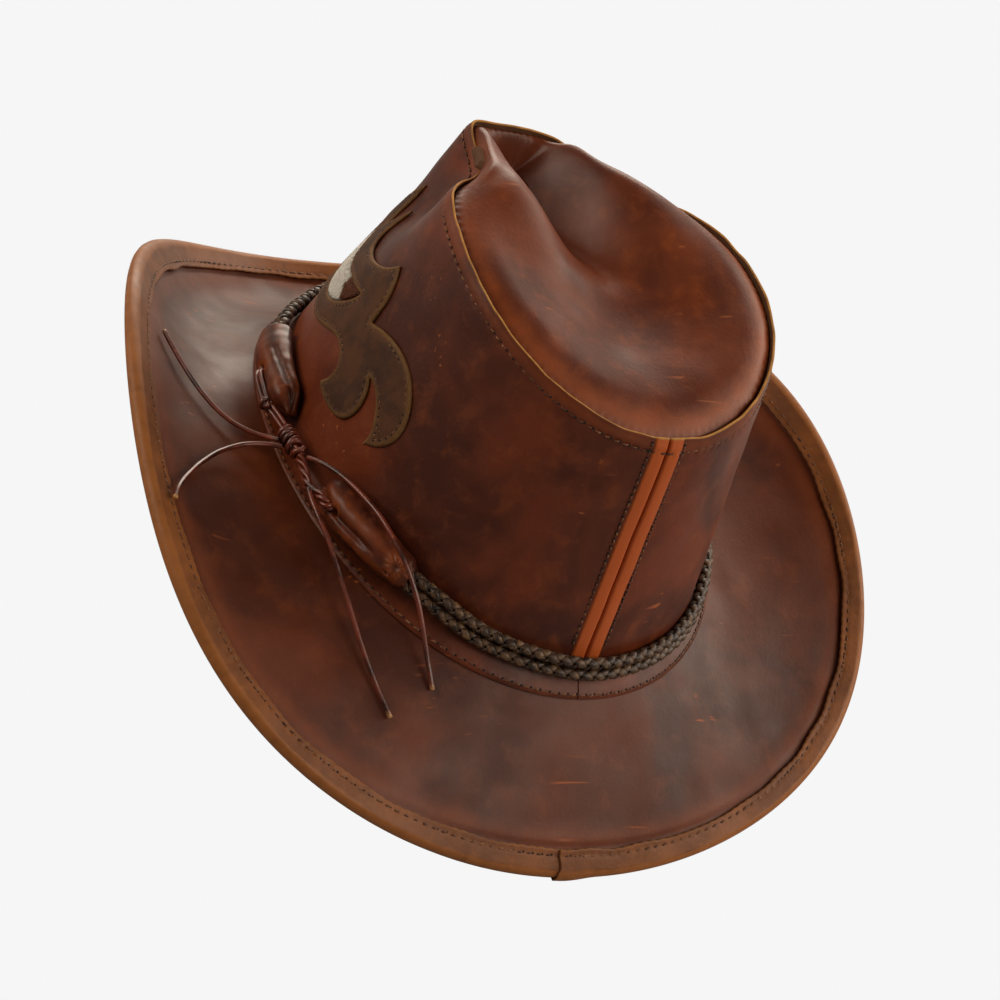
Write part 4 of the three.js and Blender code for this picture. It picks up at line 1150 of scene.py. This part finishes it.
WINDOW_OUTLINE = [
    (53, 39.8), (58, 41.6), (62.8, 45.6), (66.6, 50.8), (69.6, 56.4), (71.4, 61.8), (66.5, 59.2), (60, 57),
    (53.5, 55.4), (47.5, 57), (43, 61.5), (40, 67), (38.6, 60), (38.8, 52.5), (41.6, 45.6), (46.8, 41),
]
WINDOW_SHARP = [(71.4, 61.8), (40, 67)]


def flat_outline(corners, sharp):
    """A closed outline on the unrolled side of the crown, curved between its sharp corners, in mm."""
    points = [(theta * PER_DEGREE, h) for theta, h in corners]
    hard = [(theta * PER_DEGREE, h) for theta, h in sharp]
    start = points.index(hard[0])
    points = points[start:] + points[:start] + [hard[0]]
    made, stretch = [], [points[0]]
    for point in points[1:]:
        stretch.append(point)
        if point in hard:
            made.append(smooth_curve([(*p, 0) for p in stretch], 8)[:-1, :2])
            stretch = [point]
    return np.vstack(made)


def distance_to(outline, points):
    """How far each point is from a closed outline."""
    a, b = outline, np.roll(outline, -1, axis=0)
    best = np.full(len(points), 1e9)
    for p, q in zip(a, b):
        edge = q - p
        t = np.clip(((points - p) @ edge) / max(edge @ edge, 1e-9), 0, 1)[:, None]
        best = np.minimum(best, np.linalg.norm(points - p - t * edge, axis=1))
    return best


def inside(outline, points):
    x, y = points[:, 0], points[:, 1]
    within = np.zeros(len(points), bool)
    for (ax, ay), (bx, by) in zip(outline, np.roll(outline, -1, axis=0)):
        crosses = (ay > y) != (by > y)
        within ^= crosses & (x < (bx - ax) * (y - ay) / (by - ay + 1e-12) + ax)
    return within


def cut_sheet(outline, window=None, spacing=0.8):
    """A flat triangle mesh of an outline, with an opening: points, triangles, distance from the edge."""
    low, high = outline.min(axis=0), outline.max(axis=0)
    grid = np.stack(np.meshgrid(np.arange(low[0], high[0], spacing), np.arange(low[1], high[1], spacing)),
                    axis=-1)
    grid[1::2, :, 0] += spacing / 2
    grid = grid.reshape(-1, 2)
    grid = grid[inside(outline, grid)]
    grid = grid[distance_to(outline, grid) > spacing * 0.45]
    loops = [outline]
    if window is not None:
        grid = grid[~inside(window, grid)]
        grid = grid[distance_to(window, grid) > spacing * 0.45]
        loops.append(window)
    points = np.vstack([*loops, grid])
    edges, first = [], 0
    for loop in loops:
        edges += [(first + k, first + (k + 1) % len(loop)) for k in range(len(loop))]
        first += len(loop)
    made, _, faces, *_ = delaunay_2d_cdt([Vector(p) for p in points], edges, [], 0, 1e-6)
    made = np.array([tuple(p) for p in made])
    middles = np.array([made[list(f)].mean(axis=0) for f in faces])
    keep = inside(outline, middles)
    if window is not None:
        keep &= ~inside(window, middles)
    away = distance_to(outline, made)
    if window is not None:
        away = np.minimum(away, distance_to(window, made))
    return made, [f for f, k in zip(faces, keep) if k], away


def on_crown(flat, out):
    return wall(flat[:, 0] / PER_DEGREE, flat[:, 1], out)


def sheet_layer(flat, faces, high):
    """A closed layer on the crown over a flat triangle mesh, its upper face at the given heights."""
    n = len(flat)
    top, bottom = on_crown(flat, high), on_crown(flat, APPLIQUE.under)
    layer = [tuple(f) for f in faces] + [tuple(k + n for k in f) for f in faces]
    uses = Counter(tuple(sorted(side)) for f in faces for side in zip(f, (*f[1:], f[0])))
    layer += [(a, b, b + n, a + n) for (a, b), times in uses.items() if times == 1]
    return np.vstack([top, bottom]), layer


def make_overlay(looks, outline, window):
    flat, faces, away = cut_sheet(outline, window)
    round_off = np.sqrt(np.clip(1 - (1 - away / 0.9) ** 2, 0, 1)) * (away < 0.9) + (away >= 0.9)
    high = APPLIQUE.lift + APPLIQUE.thick * (0.55 + 0.45 * round_off)
    line = bell(away - APPLIQUE.stitch_in, 0.8)
    soft = 0.1 * waves(xyz(flat[:, 0], flat[:, 1], 0), 7, 71)
    points, layer = sheet_layer(flat, faces, high - 0.22 * line + soft * ease(away, 0, 1))
    marks = {"rim": np.tile(bell(away, 1.6), 2),
             "raw": np.concatenate([away < 0.01, np.ones(len(flat))]).astype(float)}
    add_piece("applique_leather_layer", points, layer, [looks.applique],
              stands_for=["applique_overlay"], slot="applique_leather", values=marks)


def inset_row(outline, depth):
    """The outline pulled in by depth, without the loops that corners would leave."""
    ahead = along(np.pad(outline, ((0, 0), (0, 1))), True)[:, :2]
    area = np.sum(outline[:, 0] * np.roll(outline[:, 1], -1) - np.roll(outline[:, 0], -1) * outline[:, 1])
    inward = np.stack([-ahead[:, 1], ahead[:, 0]], axis=1) * (1 if area > 0 else -1)
    row = outline + inward * depth
    return row, distance_to(outline, row) > abs(depth) * 0.97


def refined(outline):
    """The same closed outline, with four points for each of its points."""
    return np.vstack([np.linspace(a, b, 4, endpoint=False)
                      for a, b in zip(outline, np.roll(outline, -1, axis=0))])


def make_applique_stitches(looks, outline, window):
    """A row round the leather and one round its window, and a second row near the rear end."""
    rows = []
    fine = refined(outline)
    plans = ((fine, APPLIQUE.stitch_in), (refined(window), -APPLIQUE.stitch_in),
             (fine, APPLIQUE.second_in))
    for path, depth in plans:
        row, good = inset_row(path, depth)
        if depth == APPLIQUE.second_in:
            good &= (row[:, 0] > 97 * PER_DEGREE) & (row[:, 1] > 38)
        if depth == APPLIQUE.stitch_in:
            good &= (distance_to(window, row) > 1.4)
        else:
            good &= inside(outline, row) & (distance_to(outline, row) > 1.5)
        shift = int(np.argmin(good))
        row, good = np.roll(row, -shift, axis=0), np.roll(good, -shift)
        breaks = np.flatnonzero(np.diff(good.astype(int))) + 1
        for piece, ok in zip(np.split(row, breaks), np.split(good, breaks)):
            if ok[0] and len(piece) > 6:
                placed = on_crown(piece, APPLIQUE.lift + APPLIQUE.thick - 0.2)
                normal = wall_normal(piece[:, 0] / PER_DEGREE, piece[:, 1])
                rows.append(walk(placed, normal, STITCH.applique))
    stitch_row("stitches_applique", rows, 2.0, [looks.thread, looks.hole], thick=0.65, slot="thread")


def spot_share(flat):
    """1 where the hide is red-brown: one patch low at the rear of the window, with a wavy border."""
    x, y = flat[:, 0] / PER_DEGREE, flat[:, 1]
    border = 63.5 - 0.55 * (y - 48) + 1.4 * np.sin(y * 0.8) + 0.6 * np.sin(y * 2.1)
    return ease(x - border, -0.6, 0.6)


def make_hide(looks, window):
    centre = window.mean(axis=0)
    inner = centre + (window - centre) * 0.985
    flat, faces, away = cut_sheet(inner, spacing=0.9)
    high = APPLIQUE.lift + APPLIQUE.inlay_thick * np.sqrt(np.clip(away / 1.5, 0, 1))
    points, layer = sheet_layer(flat, faces, high)
    add_piece("spotted_hide_panel", points, layer, [looks.hide], stands_for=["applique_inlay"],
              slot="inlay_hide", values={"spot": np.tile(spot_share(flat), 2)})
    make_hairs(looks, inner)


def make_hairs(looks, outline, number=5200):
    """Short flat-lying hairs, each a thin three-sided spike with a bend."""
    low, high = outline.min(axis=0), outline.max(axis=0)
    roots = rng.uniform(low, high, (number * 2, 2))
    roots = roots[inside(outline, roots)][:number]
    back = 0.9 + 0.2 * rng.normal(size=len(roots))
    down = -0.45 + 0.3 * rng.normal(size=len(roots))
    lean = unit(np.stack([back, down], axis=1))
    side = np.stack([-lean[:, 1], lean[:, 0]], axis=1)
    length = rng.uniform(1.6, 2.8, len(roots))
    surface = APPLIQUE.lift + APPLIQUE.inlay_thick * 0.92
    rings = []
    for t, lift, fat in ((0, -0.1, 0.11), (0.5, 0.28, 0.09), (1.0, 0.3, 0.015)):
        flat = roots + lean * (length * t)[:, None]
        flat = np.where(inside(outline, flat)[:, None], flat, roots + lean * 0.2)
        middle = on_crown(flat, surface + lift + rng.normal(0, 0.04, len(roots)))
        beside = on_crown(flat + side * fat, surface + lift) - on_crown(flat, surface + lift)
        normal = wall_normal(flat[:, 0] / PER_DEGREE, flat[:, 1])
        rings.append(np.stack([middle + beside, middle - beside, middle + normal * fat], axis=1))
    points = np.stack(rings, axis=1)
    each = 9
    one = grid_faces(3, 3, False, True) + [(0, 1, 2), (6, 7, 8)]
    faces = [tuple(k + n * each for k in f) for n in range(len(roots)) for f in one]
    spots = np.repeat(spot_share(roots + rng.normal(0, 0.25, roots.shape)), each)
    add_piece("hide_hairs", points.reshape(-1, 3), faces, [looks.hide], slot="inlay_hide",
              values={"spot": spots})


# ---- room --------------------------------------------------------------------
# Soft boxes: name, place in metres, width, height, watts.
LIGHTS = (
    ("key", (1.66, -0.51, 1.0), 1.2, 1.2, 18),
    ("behind", (-0.79, -1.72, 0.64), 1.4, 1.2, 26),
    ("right", (-1.64, 0.49, 1.04), 1.2, 1.2, 16),
    ("low_right", (-1.79, -0.58, 0.68), 1.1, 1.1, 12),
    ("left", (1.27, -1.49, 0.5), 1.0, 1.0, 7),
    ("back", (-0.59, 1.33, 1.37), 1.2, 1.2, 15),
)
LIGHT_COLOUR = (1, 0.88, 0.74)
LIGHT_AIM = Vector((0, 0, 0.03))
FLOOR = Sizes(half=40, below=0.0005, grey=0.4, pale=0.921)


def area_light(name, place, width, height, power):
    lamp = bpy.data.lights.new(name, "AREA")
    lamp.shape = "RECTANGLE"
    lamp.size, lamp.size_y = width, height
    lamp.energy = power
    lamp.color = LIGHT_COLOUR
    holder = bpy.data.objects.new(name, lamp)
    bpy.context.collection.objects.link(holder)
    holder.location = place
    holder.rotation_mode = "QUATERNION"
    holder.rotation_quaternion = (LIGHT_AIM - Vector(place)).to_track_quat("-Z", "Y")


def backdrop_look():
    """Evenly pale to look at, like a cut-out product picture, and a mid grey to the light it returns."""
    look = Look("pale_floor", Roughness=0.9)
    look.finish((FLOOR.grey,) * 3 + (1,))
    pale = look.node("Emission", {"Color": (FLOOR.pale,) * 3 + (1,), "Strength": 1.0})
    seen = look.node("LightPath").outputs["Is Camera Ray"]
    both = look.node("MixShader")
    look.feed(both.inputs[0], seen)
    look.feed(both.inputs[1], look.shader.outputs["BSDF"])
    look.feed(both.inputs[2], pale.outputs["Emission"])
    look.feed(look.tree.nodes["Material Output"].inputs["Surface"], both.outputs["Shader"])
    return look.material


def make_room():
    size, level = FLOOR.half, cad_box[0].z - FLOOR.below
    corners = [(-size, -size, level), (size, -size, level), (size, size, level), (-size, size, level)]
    mesh = bpy.data.meshes.new("floor")
    mesh.from_pydata(corners, [], [(0, 1, 2, 3)])
    mesh.materials.append(backdrop_look())
    floor = bpy.data.objects.new("floor", mesh)
    bpy.context.collection.objects.link(floor)
    world = bpy.data.worlds.new("studio")
    world.use_nodes = True
    background = world.node_tree.nodes["Background"]
    background.inputs["Color"].default_value = (0.9, 0.95, 1, 1)
    background.inputs["Strength"].default_value = 0.06
    bpy.context.scene.world = world
    for light in LIGHTS:
        area_light(*light)
    bpy.context.scene.view_settings.view_transform = "Standard"


# ---- the hat -----------------------------------------------------------------
def make_hat():
    looks = make_looks()
    make_tails(looks)
    make_knot(looks)
    make_lace_runs(looks)
    make_side_panel(looks)
    make_tip(looks)
    make_crown_stitches(looks)
    make_brim(looks)
    make_binding(looks)
    make_sweatband(looks)
    make_braids(looks)
    make_tabs(looks)
    outline = flat_outline(OVERLAY_OUTLINE, SHARP)
    window = flat_outline(WINDOW_OUTLINE, WINDOW_SHARP)
    make_overlay(looks, outline, window)
    make_hide(looks, window)
    make_applique_stitches(looks, outline, window)
    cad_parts["brim_wire"].material_slots[0].material = looks.steel


make_camera()
make_room()
make_hat()
